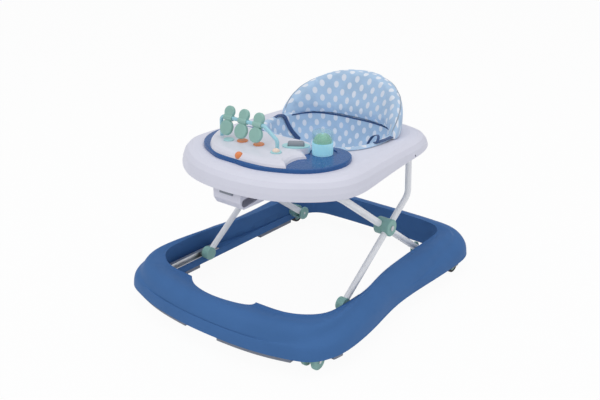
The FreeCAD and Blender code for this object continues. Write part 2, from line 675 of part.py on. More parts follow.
def below_rim():
    """Everything under the rim line, which climbs from the front half to the rear half."""
    low = size("TrayRim")
    high = low + size("TrayRimRise")
    middle = (tray_front + tray_rear) / 2
    sweep = Part.BSplineCurve()
    sweep.interpolate(Points=[Vector(0, tray_front - tall, low), Vector(0, middle - half_length / 4, low),
                              Vector(0, middle + half_length / 4, high), Vector(0, tray_rear + tall, high)],
                      InitialTangent=Vector(0, 1, 0), FinalTangent=Vector(0, 1, 0))
    corners = [Vector(0, tray_rear + tall, high), Vector(0, tray_rear + tall, 0),
               Vector(0, tray_front - tall, 0), Vector(0, tray_front - tall, low)]
    lines = [Part.LineSegment(a, b).toShape() for a, b in zip(corners, corners[1:])]
    face = Part.Face(Part.Wire([sweep.toShape()] + lines))
    slab = face.extrude(ACROSS * size("BaseWidth"))
    slab.translate(ACROSS * (-size("BaseWidth") / 2))
    return slab


tray_solid = tray_skin(0, size("TrayRim") - tray_skirt)
under_tray = tray_skin(tray_wall, size("TrayRim") - 3 * tray_skirt)
seat_hole = prism(seat_half, 0, 2 * size("TrayTop"))
collar = prism(moved_out(seat_half, tray_wall), size("TrayTop") - size("CollarDepth"), 2 * size("TrayTop"))
hollow = under_tray.cut(collar)
tray = tray_solid.cut(below_rim()).cut(hollow).cut(seat_hole)
ear_gap = size("ForkGap")
lug_low = tray_pivot.z - pin_radius - size("TrayWall")
for name, side in SIDES:
    for x0, x1 in ((leg_x - front_radius - ear_gap - ear, leg_x - front_radius - ear_gap),
                   (leg_x + front_radius + ear_gap, leg_x + front_radius + ear_gap + ear)):
        lug = block(x0, x1, tray_pivot.y - 2 * end_margin, tray_pivot.y + 2 * end_margin,
                    lug_low, size("TrayTop"))
        tray = tray.fuse(on_side(lug, side).common(under_tray))
tray = tray.cut(rod(pin_radius, at_x(tray_pivot, -far), at_x(tray_pivot, far)))
piece("tray_shell", tray)
lug_in = leg_x - front_radius - ear_gap - ear
lug_out = leg_x + front_radius + ear_gap + ear
tray_pin = rod(pin_radius, at_x(tray_pivot, lug_in), at_x(tray_pivot, lug_out))
piece("tray_pivot_pins", Part.makeCompound([on_side(tray_pin, side) for name, side in SIDES]))


# ---------------------------------------------------------------- height adjuster
def folded_bar(share):
    """Crossbar centre seen from the tray when a share of the fold has been made."""
    fold = size("FoldTravel") * share
    tilt = size("TrayTilt") * share
    moved_hub = polar(pivot, size("LinkLength"), 180 - size("LegAngle") + fold)
    reach = tray_pivot - hub
    angle = math.degrees(math.atan2(reach.z, reach.y)) - fold
    moved_pivot = polar(moved_hub, reach.Length, angle)
    moved_bar = polar(moved_hub, size("BarReach"), 180 - size("LegAngle") + fold)
    seen = Rotation(ACROSS, -tilt).multVec(moved_bar - moved_pivot)
    return tray_pivot + seen


bar_stops = [folded_bar(step / 6) for step in range(7)]
slot_radius = rear_radius + size("SlotGap")
half_box = size("AdjusterWidth") / 2
cheek_wall = size("AdjusterWall")
box_front = bar_stops[-1].y - slot_radius - cheek_wall
box_rear = bar_stops[0].y + slot_radius + cheek_wall
box_low = bar_stops[-1].z - slot_radius - cheek_wall
box_rise = bar_stops[0].z - slot_radius - cheek_wall
chin = box_low + slot_radius * 1.6
shoulder = (box_front + box_rear) / 2


def side_profile(points, half_width):
    """Profile in the YZ plane, extruded across the walker."""
    corners = [Vector(-half_width, y, z) for y, z in points]
    face = Part.Face(Part.makePolygon(corners + [corners[0]]))
    return face.extrude(ACROSS * 2 * half_width)


top = size("TrayTop")
box = side_profile(((box_front, top), (box_front, chin), (box_front + slot_radius, box_low),
                    (shoulder, box_low), (box_rear, box_rise), (box_rear, top)), half_box)
inside = side_profile(((box_front + cheek_wall, top), (box_front + cheek_wall, chin + cheek_wall),
                       (box_front + slot_radius + cheek_wall, box_low + cheek_wall),
                       (shoulder, box_low + cheek_wall), (box_rear - cheek_wall, box_rise + cheek_wall),
                       (box_rear - cheek_wall, top)), half_box - cheek_wall)
housing = box.cut(inside)
for stop in bar_stops:
    housing = housing.cut(rod(slot_radius, at_x(stop, -far), at_x(stop, far)))
for first, last in zip(bar_stops, bar_stops[1:]):
    run = (last - first).normalize()
    edge = Vector(0, -run.z, run.y) * slot_radius
    corners = [at_x(p, 0) for p in (first + edge, last + edge, last - edge, first - edge)]
    housing = housing.cut(side_profile([(p.y, p.z) for p in corners], far))
lever_half = size("LeverLength") / 2
lever_z = size("TrayRim") - cheek_wall
lever_high = slot_radius
window = block(-lever_half - size("ButtonGap"), lever_half + size("ButtonGap"), box_front - cheek_wall,
               box_front + 2 * cheek_wall, lever_z - lever_high - size("ButtonGap"),
               lever_z + size("ButtonGap"))
piece("height_adjuster_housing", housing.cut(window).common(under_tray))
lever = block(-lever_half, lever_half, box_front - cheek_wall, box_front + cheek_wall,
              lever_z - lever_high, lever_z)
lip = block(-lever_half - cheek_wall / 2, lever_half + cheek_wall / 2, box_front + cheek_wall,
            box_front + 1.5 * cheek_wall, lever_z - lever_high - cheek_wall / 2, lever_z + cheek_wall / 2)
edges = [e for e in lever.Edges if abs(e.CenterOfMass.y - box_front + cheek_wall) < 0.01]
piece("height_release_button", lever.makeFillet(cheek_wall / 3, edges).fuse(lip).removeSplitter())

# ---------------------------------------------------------------- toy tray and console
PLAY_SHAPE = ((0, 0), (0.324, 0.016), (0.574, 0.105), (0.744, 0.194), (0.898, 0.346), (0.977, 0.502),
              (1, 0.654), (0.949, 0.832), (0.864, 0.937), (0.727, 1), (0.58, 1), (0.426, 0.924),
              (0.227, 0.882), (0, 0.872))
play_front = tray_front + size("PlayFront")
play_rear = play_front + size("PlayDepth")
play_half = scaled_outline(PLAY_SHAPE, size("PlayWidth") / 2, play_front, play_rear)
play_top = size("TrayTop") + size("PlayHeight")
pot_centre = Vector(size("PlayWidth") * 0.295, play_rear - size("PotDiameter") * 1.05, play_top)
recess = 2

plate = prism(play_half, size("TrayTop"), play_top)
brim = [e for e in plate.Edges if abs(e.CenterOfMass.z - play_top) < 0.01 and e.Length > play_half[5].x]
plate = plate.makeFillet(size("PlayHeight") * 0.45, brim)
pot_radius = size("PotDiameter") / 2
dish = rod(pot_radius * 1.4, pot_centre - UP * recess, pot_centre + UP * recess)
piece("toy_tray", plate.cut(dish))

# console outline: front run, swoosh edge with its cusp, and rear run
console_front = ((-0.60, 0.86), (-0.86, 0.76), (-0.92, 0.63), (-0.875, 0.50), (-0.80, 0.375),
                 (-0.685, 0.235), (-0.55, 0.125), (-0.40, 0.055), (-0.2, 0.027), (0, 0.022), (0.31, 0.034),
                 (0.48, 0.075), (0.60, 0.13))
console_swoosh = ((0.60, 0.13), (0.545, 0.20), (0.515, 0.32), (0.525, 0.42), (0.585, 0.49))
console_rear = ((0.585, 0.49), (0.47, 0.58), (0.44, 0.72), (0.36, 0.84), (0.10, 0.845), (-0.25, 0.845),
                (-0.60, 0.86))
CONSOLE_LEVELS = ((1, 0), (0.985, 0.35), (0.94, 0.68), (0.84, 0.9), (0.70, 1))
console_hub = Vector(-0.13, 0.48, 0)
console_top = play_top + size("ConsoleHeight")


def console_wire(share, level):
    edges = []
    for run in (console_front, console_swoosh, console_rear):
        points = []
        for x, y in run:
            across = (console_hub.x + (x - console_hub.x) * share) * size("PlayWidth") / 2
            deep = play_front + (console_hub.y + (y - console_hub.y) * share) * size("PlayDepth")
            points.append(Vector(across, deep, level))
        curve = Part.BSplineCurve()
        curve.interpolate(Points=points)
        edges.append(curve.toShape())
    return Part.Wire(edges)


console = Part.makeLoft([console_wire(share, play_top + size("ConsoleHeight") * rise)
                         for share, rise in CONSOLE_LEVELS], True, True)
button_radius = size("ButtonDiameter") / 2
BUTTONS = (("round_button_1", -0.44, 0.30), ("round_button_2", -0.285, 0.365),
           ("round_button_3", -0.045, 0.385), ("round_button_4", 0.295, 0.305))
button_depth = size("ButtonTravel") + size("ButtonRise") + size("SoftGap")
seat_floor = console_top - button_depth
for label, x, y in BUTTONS:
    centre = Vector(x * size("PlayWidth") / 2, play_front + y * size("PlayDepth"), seat_floor)
    console = console.cut(rod(button_radius + size("ButtonGap"), centre, centre + UP * 3 * button_depth))
    disc_foot = centre + UP * (size("ButtonTravel") + size("SoftGap"))
    disc = Part.makeCylinder(button_radius, button_depth, disc_foot)
    rim_edges = [e for e in disc.Edges if len(e.Vertexes) == 1 and e.CenterOfMass.z > console_top]
    piece(label, disc.makeFillet(size("ButtonRise") / 2, rim_edges))

# paddle bar: an arch with two feet let into the console
bar_radius = size("BarThickness") / 2
bar_z = console_top + size("BarHeight")
bar_y = play_front + 0.38 * size("PlayDepth")
bar_mid = Vector(-0.0975 * size("PlayWidth"), bar_y, bar_z)
half_span = size("BarSpan") / 2
bar_sink = size("BarHeight") + 0.6 * size("ConsoleHeight")
arch_points = [bar_mid + Vector(-half_span, 0, -bar_sink), bar_mid + Vector(-half_span, 0, 0),
               bar_mid + Vector(0.56 * half_span, 0, 0),
               bar_mid + Vector(half_span, 0, -0.56 * size("BarHeight")),
               bar_mid + Vector(half_span, 0, -bar_sink)]
arch = solid_tube(arch_points, 1.25 * size("BarThickness"), size("BarThickness"))
console = console.cut(arch)
piece("paddle_bar", arch)

# paddles: two lobes and a sleeve, free to spin on the bar
half_thick = size("PaddleThickness") / 2
sleeve_radius = size("SleeveDiameter") / 2


def lobe(centre, radius):
    """Flat round lobe standing across the walker, with rounded rims."""
    front = Rotation(ACROSS, -size("PaddleTilt")).multVec(Vector(0, -half_thick, 0))
    disc = rod(radius, centre + front, centre - front)
    return disc.makeFillet(half_thick * 0.6, [e for e in disc.Edges if len(e.Vertexes) == 1])


for index, label in enumerate(("paddle_left", "paddle_middle", "paddle_right")):
    centre = bar_mid + ACROSS * (size("PaddleSpacing") * (index - 1) - size("PaddleSpacing") * 0.36)
    lean = Rotation(ACROSS, -size("PaddleTilt")).multVec(UP)
    low_radius = size("PaddleWidth") / 2
    high_radius = size("PaddleUpper") / 2
    lower = lobe(centre - lean * (size("PaddleLower") - low_radius), low_radius)
    upper = lobe(centre + lean * (size("PaddleRise") - high_radius), high_radius)
    half_sleeve = size("PaddleWidth") * 0.34
    sleeve = rod(sleeve_radius, centre - ACROSS * half_sleeve, centre + ACROSS * half_sleeve)
    paddle = sleeve.fuse([lower, upper])
    paddle = paddle.cut(rod(bar_radius + size("PinGap"), centre - ACROSS * far, centre + ACROSS * far))
    piece(label, paddle)

# spinning ball in its clear cylinder
pot_floor = pot_centre - UP * recess
pot = rod(pot_radius, pot_floor, pot_floor + UP * size("PotHeight"))
step_radius = pot_radius - size("GlassWall")
nest_floor = pot_floor + UP * 2 * size("GlassWall")
nest = rod(step_radius, nest_floor, pot_floor + UP * 2 * size("PotHeight"))
pot_top = pot_floor + UP * size("PotHeight")
spindle_top = pot_top + UP * (size("GlassHeight") - 2 * size("GlassWall"))
spindle = rod(axle_radius, nest_floor, spindle_top)
piece("ball_pot", pot.cut(nest).fuse(spindle))
glass = rod(pot_radius, pot_top, pot_top + UP * size("GlassHeight"))
cavity = rod(step_radius, pot_top, pot_top + UP * (size("GlassHeight") - size("GlassWall")))
glass = glass.cut(cavity)
crown_z = pot_top.z + size("GlassHeight") - 0.01
crown = [e for e in glass.Edges if len(e.Vertexes) == 1 and e.CenterOfMass.z > crown_z]
piece("clear_cylinder", glass.makeFillet(size("GlassWall"), crown))

ball_radius = size("BallDiameter") / 2
ball_centre = pot_top + UP * (size("GlassHeight") - 2 * size("GlassWall") - ball_radius)
GROOVES = 4
ball = Part.makeSphere(ball_radius, ball_centre)
for groove in range(GROOVES):
    turn = math.pi * groove / GROOVES
    flank = Vector(-math.sin(turn), math.cos(turn), 0)
    ball = ball.cut(Part.makeTorus(ball_radius, ball_radius * 0.09, ball_centre, flank, 0, 360, 360))
ball = ball.cut(rod(axle_radius + size("AxleGap"), ball_centre - UP * ball_radius * 2,
                    ball_centre + UP * ball_radius * 2))
piece("spinning_ball", ball)

# oval dish with its rocking piece, and the small knob on the console's front
dish_centre = Vector(0.335 * size("PlayWidth") / 2, play_front + 0.595 * size("PlayDepth"), console_top)
dish_wide = size("ButtonDiameter") * 1.25
dish_turn = Rotation(UP, size("DishTurn"))
dish_line = dish_turn.multVec(ACROSS)


def oval_face(half_wide, half_tall):
    """Oval face about the origin, its long way along X."""
    return Part.Face(Part.Wire(Part.Ellipse(Vector(0, 0, 0), half_wide, half_tall).toShape()))


def dish_plate(low, high):
    """Turned oval plate of the dish between two heights."""
    plate = oval_face(dish_wide, dish_wide * 0.62).extrude(UP * (high - low))
    plate.Placement = Placement(Vector(dish_centre.x, dish_centre.y, low), dish_turn)
    return plate


roller_half = dish_wide * 0.6
roller_radius = dish_wide * 0.26
roller_centre = dish_centre + UP * (size("ButtonTravel") + roller_radius * 0.25)
trough_half = roller_half + size("ButtonGap")
trough = rod(roller_radius + size("ButtonGap"), roller_centre - dish_line * trough_half,
             roller_centre + dish_line * trough_half)
piece("oval_dish", dish_plate(console_top, console_top + size("ButtonTravel")).cut(trough))
console = console.fuse(dish_plate(play_top, console_top)).removeSplitter().cut(trough)
roller = rod(roller_radius, roller_centre - dish_line * roller_half, roller_centre + dish_line * roller_half)
ends = [e for e in roller.Edges if len(e.Vertexes) == 1]
piece("toy_roller", roller.makeFillet(roller_radius * 0.6, ends))
knob_centre = Vector(-0.034 * size("PlayWidth") / 2, play_front + 0.055 * size("PlayDepth"),
                     play_top + size("ConsoleHeight") * 0.5)
knob = Part.makeSphere(size("ButtonDiameter") * 0.36, knob_centre)
knob_room = block(-far, far, tray_front, 0, play_top, 2 * top)
piece("front_knob", knob.cut(console).common(knob_room))
piece("toy_console", console)

# ---------------------------------------------------------------- seat
soft = size("SoftGap")
back_wide = size("BackWidth") / 2
back_low = top + soft


def crescent(level, lean, widen):
    """Plan of the seat back at one level: two half ellipses joined at the wing tips."""
    outer_wide = back_wide + widen
    outer_deep = size("BackDepth") + lean
    inner_wide = outer_wide - size("BackThickness")
    inner_deep = outer_deep - size("BackThickness")
    centre = Vector(0, size("BackY"), level)
    wings = []
    for wide, deep in ((outer_wide, outer_deep), (inner_wide, inner_deep)):
        bow = [centre + Vector(wide * math.cos(math.pi * step / 8), deep * math.sin(math.pi * step / 8), 0)
               for step in range(9)]
        curve = Part.BSplineCurve()
        curve.interpolate(Points=bow)
        wings.append(curve)
    first, last = wings
    tips = [Part.LineSegment(last.EndPoint, first.EndPoint).toShape(),
            Part.LineSegment(first.StartPoint, last.StartPoint).toShape()]
    return Part.Wire([first.toShape(), tips[0], last.toShape(), tips[1]])


back_top = top + size("BackHeight")
back = Part.makeLoft([crescent(back_low, 0, 0),
                      crescent((back_low + back_top) / 2, size("BackLean") * 0.6, 2),
                      crescent(back_top, size("BackLean"), -8)], True, False)
arch_line = []
for step in range(13):
    turn = math.pi * step / 12
    bow = abs(math.cos(turn)) ** (2 / size("BackFullness"))
    rise = math.sin(turn) ** (2 / size("BackFullness")) if 0 < step < 12 else 0
    arch_line.append(Vector(math.copysign(bow, math.cos(turn)) * (back_wide + 4), size("BackY"),
                            back_low + rise * (size("BackHeight") - soft)))
dome_curve = Part.BSplineCurve()
dome_curve.interpolate(Points=arch_line)
dome_base = Part.LineSegment(arch_line[-1], arch_line[0]).toShape()
dome_face = Part.Face(Part.Wire([dome_curve.toShape(), dome_base]))
dome = dome_face.extrude(Vector(0, 2 * size("BackDepth"), 0))
piece("seat_back", back.common(dome))

SLING_LEVELS = ((1, 0), (0.97, 0.3), (0.86, 0.62), (0.66, 0.88), (0.42, 1))


def sling_wire(inset, share, level):
    middle = (size("SeatFront") + seat_rear) / 2
    ring = []
    for point in moved_out(seat_half, -inset):
        ring.append(Vector(point.x * share, middle + (point.y - middle) * share, level))
    return ring_wire(ring)


def bowl(inset, rise):
    wires = []
    for share, drop in SLING_LEVELS:
        wires.append(sling_wire(inset, share, top - (size("SlingDepth") - rise) * drop))
    return Part.makeLoft(wires, True, False)


sling = bowl(soft, 0).cut(bowl(soft + size("SlingThickness"), size("SlingThickness")))
leg_radius = size("LegHole") / 2
leg_low = top - size("SlingDepth") * 0.56
for side in (1, -1):
    mouth = Vector(side * size("SeatWidth") * 0.26, size("SeatFront") + size("SeatLength") * 0.28, leg_low)
    drop = Vector(side * 0.25, -1, -0.35).normalize()
    sling = sling.cut(Part.makeCylinder(leg_radius, size("SeatLength"), mouth, drop))
piece("seat_sling", sling)

# flat webbing straps down the inside of the sling, from the tray edge
STRAP_ROUTE = ((0.48, 0.05), (0.55, 0.16), (0.62, 0.30), (0.70, 0.46), (0.77, 0.62))


def sling_inside(y, level):
    """Distance from the middle to the inner face of the sling on the child's left."""
    line = Part.makeLine(Vector(0, y, level), Vector(size("SeatWidth"), y, level))
    return min(vertex.X for vertex in sling.common(line).Vertexes)


def strap_section(side, y, level):
    """Cross section of a strap at one point of its route."""
    half = size("StrapWidth") / 2
    outer = min(sling_inside(y - half, level), sling_inside(y + half, level)) - soft
    inner = outer - size("StrapThickness")
    corners = [Vector(side * x, y + step, level) for x, step in
               ((outer, -half), (outer, half), (inner, half), (inner, -half))]
    return Part.makePolygon(corners + [corners[0]])


straps = []
for name, side in SIDES:
    sections = [strap_section(side, size("SeatFront") + along_y * size("SeatLength"),
                              top - drop * size("SlingDepth"))
                for along_y, drop in STRAP_ROUTE]
    straps.append(Part.makeLoft(sections, True, True))
piece("seat_straps", Part.makeCompound(straps))

doc.recompute()
for feature in doc.Objects:
    if "Invalid" in feature.State or "Error" in feature.State:
        raise RuntimeError("failed feature: " + feature.Name)
for feature in pieces:
    shape = feature.Shape
    if shape.isNull() or not shape.isValid() or not shape.Solids:
        raise RuntimeError("bad sub-part: " + feature.Label)
os.makedirs("parts", exist_ok=True)
for feature in pieces:
    feature.Shape.exportStep("parts/%s.step" % feature.Label)
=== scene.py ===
# %% [markdown]
# # A baby walker, dressed for the shelf
# The frame of this object was built elsewhere as solid parts: floor ring, wheels, folding legs, tray and
# toys. This script loads those parts, gives each a finish, and makes the sewn pieces, because cloth
# is the one thing that solid modelling does badly. Every cell below does one thing, and says why before it
# does it.

# %% Load the frame
import math
import bpy
import bmesh
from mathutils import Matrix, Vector, noise
from mathutils.bvhtree import BVHTree


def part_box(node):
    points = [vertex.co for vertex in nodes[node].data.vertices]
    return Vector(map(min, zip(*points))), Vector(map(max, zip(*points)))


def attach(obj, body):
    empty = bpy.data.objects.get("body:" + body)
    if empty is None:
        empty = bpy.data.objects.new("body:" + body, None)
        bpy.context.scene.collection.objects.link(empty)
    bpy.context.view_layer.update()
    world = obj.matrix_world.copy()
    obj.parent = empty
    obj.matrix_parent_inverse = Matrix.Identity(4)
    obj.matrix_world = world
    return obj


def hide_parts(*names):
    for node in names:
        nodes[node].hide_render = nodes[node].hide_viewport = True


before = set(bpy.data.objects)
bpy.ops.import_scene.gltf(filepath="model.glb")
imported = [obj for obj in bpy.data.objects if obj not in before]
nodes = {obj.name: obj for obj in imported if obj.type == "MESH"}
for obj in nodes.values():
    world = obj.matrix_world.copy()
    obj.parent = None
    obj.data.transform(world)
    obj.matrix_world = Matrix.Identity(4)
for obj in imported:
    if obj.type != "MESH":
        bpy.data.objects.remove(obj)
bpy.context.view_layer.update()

# %% [markdown]
# ## Camera
# The camera stands in front of the child's left hand, a little above the tray, and looks at the middle of
# the cross frame. A long lens from two metres keeps the floor ring from looking stretched.

# %% Camera
AZIMUTH, ELEVATION, REACH = 38.82, 22.4, 2.01556
LOOK_AT = Vector((-0.06672, 0.06413, 0.1693))
turn, lift = math.radians(AZIMUTH), math.radians(ELEVATION)
back = Vector((math.sin(turn) * math.cos(lift), -math.cos(turn) * math.cos(lift), math.sin(lift)))
lens = bpy.data.cameras.new("camera")
lens.lens, lens.sensor_width = 50.78, 36
lens.clip_start, lens.clip_end = 0.05, 60
camera = bpy.data.objects.new("camera", lens)
camera.location = LOOK_AT + back * REACH
camera.rotation_mode = "QUATERNION"
camera.rotation_quaternion = (-back).to_track_quat("-Z", "Y")
bpy.context.scene.collection.objects.link(camera)
bpy.context.scene.camera = camera
print("camera at", [round(v, 3) for v in camera.location])

# %% [markdown]
# ## Colours
# Colours are written as they look on a screen, from 0 to 255, and turned into the linear numbers that light
# adds up in. Nearly every slip in matching a colour comes from mixing the two.


# %% Colour helper
def screen(red, green, blue):
    """Linear colour of a screen colour."""
    def linear(value):
        value /= 255
        return value / 12.92 if value <= 0.04045 else ((value + 0.055) / 1.055) ** 2.4
    return (linear(red), linear(green), linear(blue), 1.0)


print("mid grey is", round(screen(128, 128, 128)[0], 3), "in linear light")

# %% [markdown]
# ## Writing shader maths as expressions
# A node tree for a worn plastic or a printed cloth is a page of arithmetic. Wiring it by hand hides the
# formula, so a small class wraps each socket: adding or multiplying two wrapped sockets adds the Math node
# for it, and the formula can be read in the code. Everything else, such as a noise or a bump, comes from
# one method.


# %% Shader helper
class Value:
    """One number or colour on its way through a material."""

    def __init__(self, finish, socket):
        self.finish = finish
        self.socket = socket

    def maths(self, operation, other=None, swapped=False):
        pair = (other, self) if swapped else (self, other)
        inputs = {index: item for index, item in enumerate(pair) if item is not None}
        return self.finish.node("ShaderNodeMath", {"operation": operation}, inputs).out()

    def __add__(self, other):
        return self.maths("ADD", other)

    def __sub__(self, other):
        return self.maths("SUBTRACT", other)

    def __mul__(self, other):
        return self.maths("MULTIPLY", other)

    def __truediv__(self, other):
        return self.maths("DIVIDE", other)

    def __radd__(self, other):
        return self.maths("ADD", other, True)

    def __rsub__(self, other):
        return self.maths("SUBTRACT", other, True)

    def __rmul__(self, other):
        return self.maths("MULTIPLY", other, True)

    def __pow__(self, other):
        return self.maths("POWER", other)

    def __abs__(self):
        return self.maths("ABSOLUTE")

    def ramp(self, low, high):
        """0 below low, 1 above high, smooth between."""
        settings = {"interpolation_type": "SMOOTHSTEP"}
        return self.finish.node("ShaderNodeMapRange", settings, {"Value": self, 1: low, 2: high}).out()


class Made:
    """A node that was made, with its outputs by name."""

    def __init__(self, finish, node):
        self.finish = finish
        self.node = node

    def out(self, name=0):
        return Value(self.finish, self.node.outputs[name])


class Finish:
    """A material under construction."""

    def __init__(self, name):
        self.material = bpy.data.materials.new(name)
        self.material.use_nodes = True
        self.tree = self.material.node_tree
        self.tree.nodes.clear()

    def node(self, kind, settings=None, inputs=None):
        made = self.tree.nodes.new(kind)
        for key, value in (settings or {}).items():
            setattr(made, key, value)
        for key, value in (inputs or {}).items():
            if isinstance(value, Value):
                self.tree.links.new(value.socket, made.inputs[key])
            else:
                made.inputs[key].default_value = value
        return Made(self, made)

    def place(self):
        """Position on the piece, in metres."""
        return self.node("ShaderNodeTexCoord").out("Object")

    def noise(self, scale, detail, stretch=None):
        """Cloudy values from 0 to 1. scale is how many clouds fit in a metre."""
        where = self.place()
        if stretch:
            where = self.node("ShaderNodeMapping", None, {"Vector": where, "Scale": stretch}).out()
        inputs = {"Vector": where, "Scale": scale, "Detail": detail}
        return self.node("ShaderNodeTexNoise", None, inputs).out()

    def mix(self, share, first, second):
        """Colour between two colours. A colour mix keeps its inputs at 0, 6 and 7, and its result at 2."""
        inputs = {0: share, 6: first, 7: second}
        return self.node("ShaderNodeMix", {"data_type": "RGBA"}, inputs).out(2)

    def bump(self, height, strength, distance, below=None):
        inputs = {"Height": height, "Strength": strength, "Distance": distance}
        if below is not None:
            inputs["Normal"] = below
        return self.node("ShaderNodeBump", None, inputs).out()

    def done(self, **sockets):
        """Close the material with the main shader, its sockets given by short names."""
        names = {"color": "Base Color", "rough": "Roughness", "metal": "Metallic", "normal": "Normal",
                 "coat": "Coat Weight", "coat_rough": "Coat Roughness", "sheen": "Sheen Weight",
                 "sheen_rough": "Sheen Roughness", "specular": "Specular IOR Level",
                 "soft": "Subsurface Weight", "soft_reach": "Subsurface Radius",
                 "soft_scale": "Subsurface Scale", "glow_color": "Emission Color",
                 "glow": "Emission Strength"}
        inputs = {names[key]: value for key, value in sockets.items()}
        shader = self.node("ShaderNodeBsdfPrincipled", None, inputs).out()
        self.node("ShaderNodeOutputMaterial", None, {"Surface": shader})
        return self.material


print("shader helper ready")

# %% [markdown]
# ## Moulded plastic
# The floor ring, tray, hubs and toys are injection mouldings. The mould is sparked to a fine grain, so the
# skin has a soft sheen broken by tiny pits, the colour wanders by a percent or two, and sharp edges are
# polished a little paler by hands. Painting each part its own way would take a page apiece, so one recipe
# makes them all: grain, gloss and how far light goes into the plastic are what differ. Hollows and creases
# are painted a little darker: painted shade, standing in for the shadow that gathers in them.


# %% Plastic
CLOUDS, SCUFFS, WAVES, PITS = 9.0, 55.0, 38.0, 1500.0
GRAIN_DEEP = 0.0004
# how much painted shade darkens hollows and creases, and the darker tone it paints them
HOLLOW_SHADE, PAINTED_SHADE_TONE = 0.35, 0.62
PALE_SHARE = 0.25
SOFT_DEEP = 0.006


def plastic(name, color, rough, grain, drift=0.05, coat=0.0, edge=0.12, soft=0.0, shine=0.5, glow=0.0):
    """Moulded plastic. drift is how far its colour wanders, edge is wear, soft is how much light goes in.
    glow is painted light: the part gives off a faint light of its own colour, though it is no lamp.
    """
    finish = Finish(name)
    tone = Vector(color[:3])
    paler = (*(tone * (1 + drift)), 1)
    deeper = (*(tone * (1 - drift)), 1)
    cloud = finish.noise(CLOUDS, 2.0).ramp(0.35, 0.65)
    curve = finish.node("ShaderNodeNewGeometry").out("Pointiness")
    worn = curve.ramp(0.53, 0.62)
    # painted shade: where the surface is hollow, as in a crease, the colour is darkened to stand in for its
    # shadow
    painted_hollow_shade = 1 - curve.ramp(0.44, 0.497)
    scuffs = finish.noise(SCUFFS, 4.0).ramp(0.45, 0.7)
    body = finish.mix(cloud, deeper, paler)
    body = finish.mix(painted_hollow_shade * HOLLOW_SHADE, body, (*(tone * PAINTED_SHADE_TONE), 1))
    light = (*(tone * (1 - PALE_SHARE) + Vector((PALE_SHARE, PALE_SHARE, PALE_SHARE))), 1)
    skin = finish.mix(worn * scuffs * edge, body, light)
    relief = finish.noise(PITS, 1.0) * 0.7 + finish.noise(WAVES, 2.0) * 0.6
    normal = finish.bump(relief, grain, GRAIN_DEEP)
    return finish.done(color=skin, rough=rough + (scuffs - 0.5) * 0.08, normal=normal, coat=coat,
                       coat_rough=0.12, specular=shine, soft=soft, soft_reach=(1.0, 1.0, 1.0),
                       soft_scale=SOFT_DEEP, glow_color=(*tone, 1), glow=glow)


ring_blue = plastic("ring_blue", screen(73, 115, 170), rough=0.56, grain=0.14, drift=0.03, edge=0.04,
                    shine=0.08)
tray_pale = plastic("tray_pale", screen(226, 226, 239), rough=0.46, grain=0.08, drift=0.008, edge=0.0)
console_white = plastic("console_white", screen(226, 226, 237), rough=0.34, grain=0.03, drift=0.006,
                        coat=0.15, edge=0.0)
toy_blue = plastic("toy_blue", screen(38, 90, 152), rough=0.30, grain=0.02, drift=0.02, coat=0.12, edge=0.02,
                   shine=0.35)
hub_mint = plastic("hub_mint", screen(140, 186, 178), rough=0.46, grain=0.12)
paddle_green = plastic("paddle_green", screen(152, 194, 184), rough=0.42, grain=0.08, drift=0.03, soft=0.3)
bar_aqua = plastic("bar_aqua", screen(160, 212, 226), rough=0.30, grain=0.08, coat=0.2)
button_orange = plastic("button_orange", screen(236, 140, 84), rough=0.34, grain=0.08)
button_aqua = plastic("button_aqua", screen(172, 220, 224), rough=0.32, grain=0.08)
soft_grey = plastic("soft_grey", screen(140, 146, 156), rough=0.5, grain=0.15)
slider_grey = plastic("slider_grey", screen(120, 124, 128), rough=0.5, grain=0.2)
ball_green = plastic("ball_green", screen(184, 224, 182), rough=0.3, grain=0.06, coat=0.2, soft=0.6)
# the pot's glow is painted light, standing in for the light that shines through its translucent plastic
pot_aqua = plastic("pot_aqua", screen(168, 225, 245), rough=0.22, grain=0.05, coat=0.3, soft=0.6, glow=0.22)
print("plastics", len(bpy.data.materials))

# %% [markdown]
# ## Painted tube, steel, rubber
# The legs are thin steel tube with a pale powder coat, which shows as a faint orange peel. The rails, pins
# and rivets are zinc plated: bright, a little cloudy, and drawn along their length. Rubber has no shine to
# speak of.


# %% Metal and rubber
def powder_coat(name, color):
    """Pale paint baked on from powder, with its faint orange peel."""
    finish = Finish(name)
    peel = finish.noise(420.0, 2.0)
    cloud = finish.noise(14.0, 2.0).ramp(0.3, 0.7)
    tone = Vector(color[:3])
    skin = finish.mix(cloud, (*(tone * 0.95), 1), (*(tone * 1.03), 1))
    normal = finish.bump(peel, 0.18, 0.0004)
    return finish.done(color=skin, rough=0.26 + cloud * 0.1, normal=normal, coat=0.35, coat_rough=0.15)


def plated_steel(name, color):
    """Zinc-plated steel, with lines drawn along Y."""
    finish = Finish(name)
    drawn = finish.noise(90.0, 4.0, (14.0, 0.6, 14.0))
    cloud = finish.noise(24.0, 3.0).ramp(0.3, 0.7)
    tone = Vector(color[:3])
    skin = finish.mix(cloud, (*(tone * 0.86), 1), (*tone, 1))
    return finish.done(color=skin, metal=1.0, rough=0.24 + drawn * 0.22,
                       normal=finish.bump(drawn, 0.12, 0.0002))


def rubber(name, color, rough):
    """Matt rubber with a little dust on it."""
    finish = Finish(name)
    crumb = finish.noise(900.0, 2.0)
    dust = finish.noise(40.0, 3.0).ramp(0.45, 0.75)
    tone = Vector(color[:3])
    skin = finish.mix(dust * 0.5, (*tone, 1), (*(tone * 0.8 + Vector((0.08, 0.08, 0.08))), 1))
    return finish.done(color=skin, rough=rough + dust * 0.1, normal=finish.bump(crumb, 0.35, 0.0003))


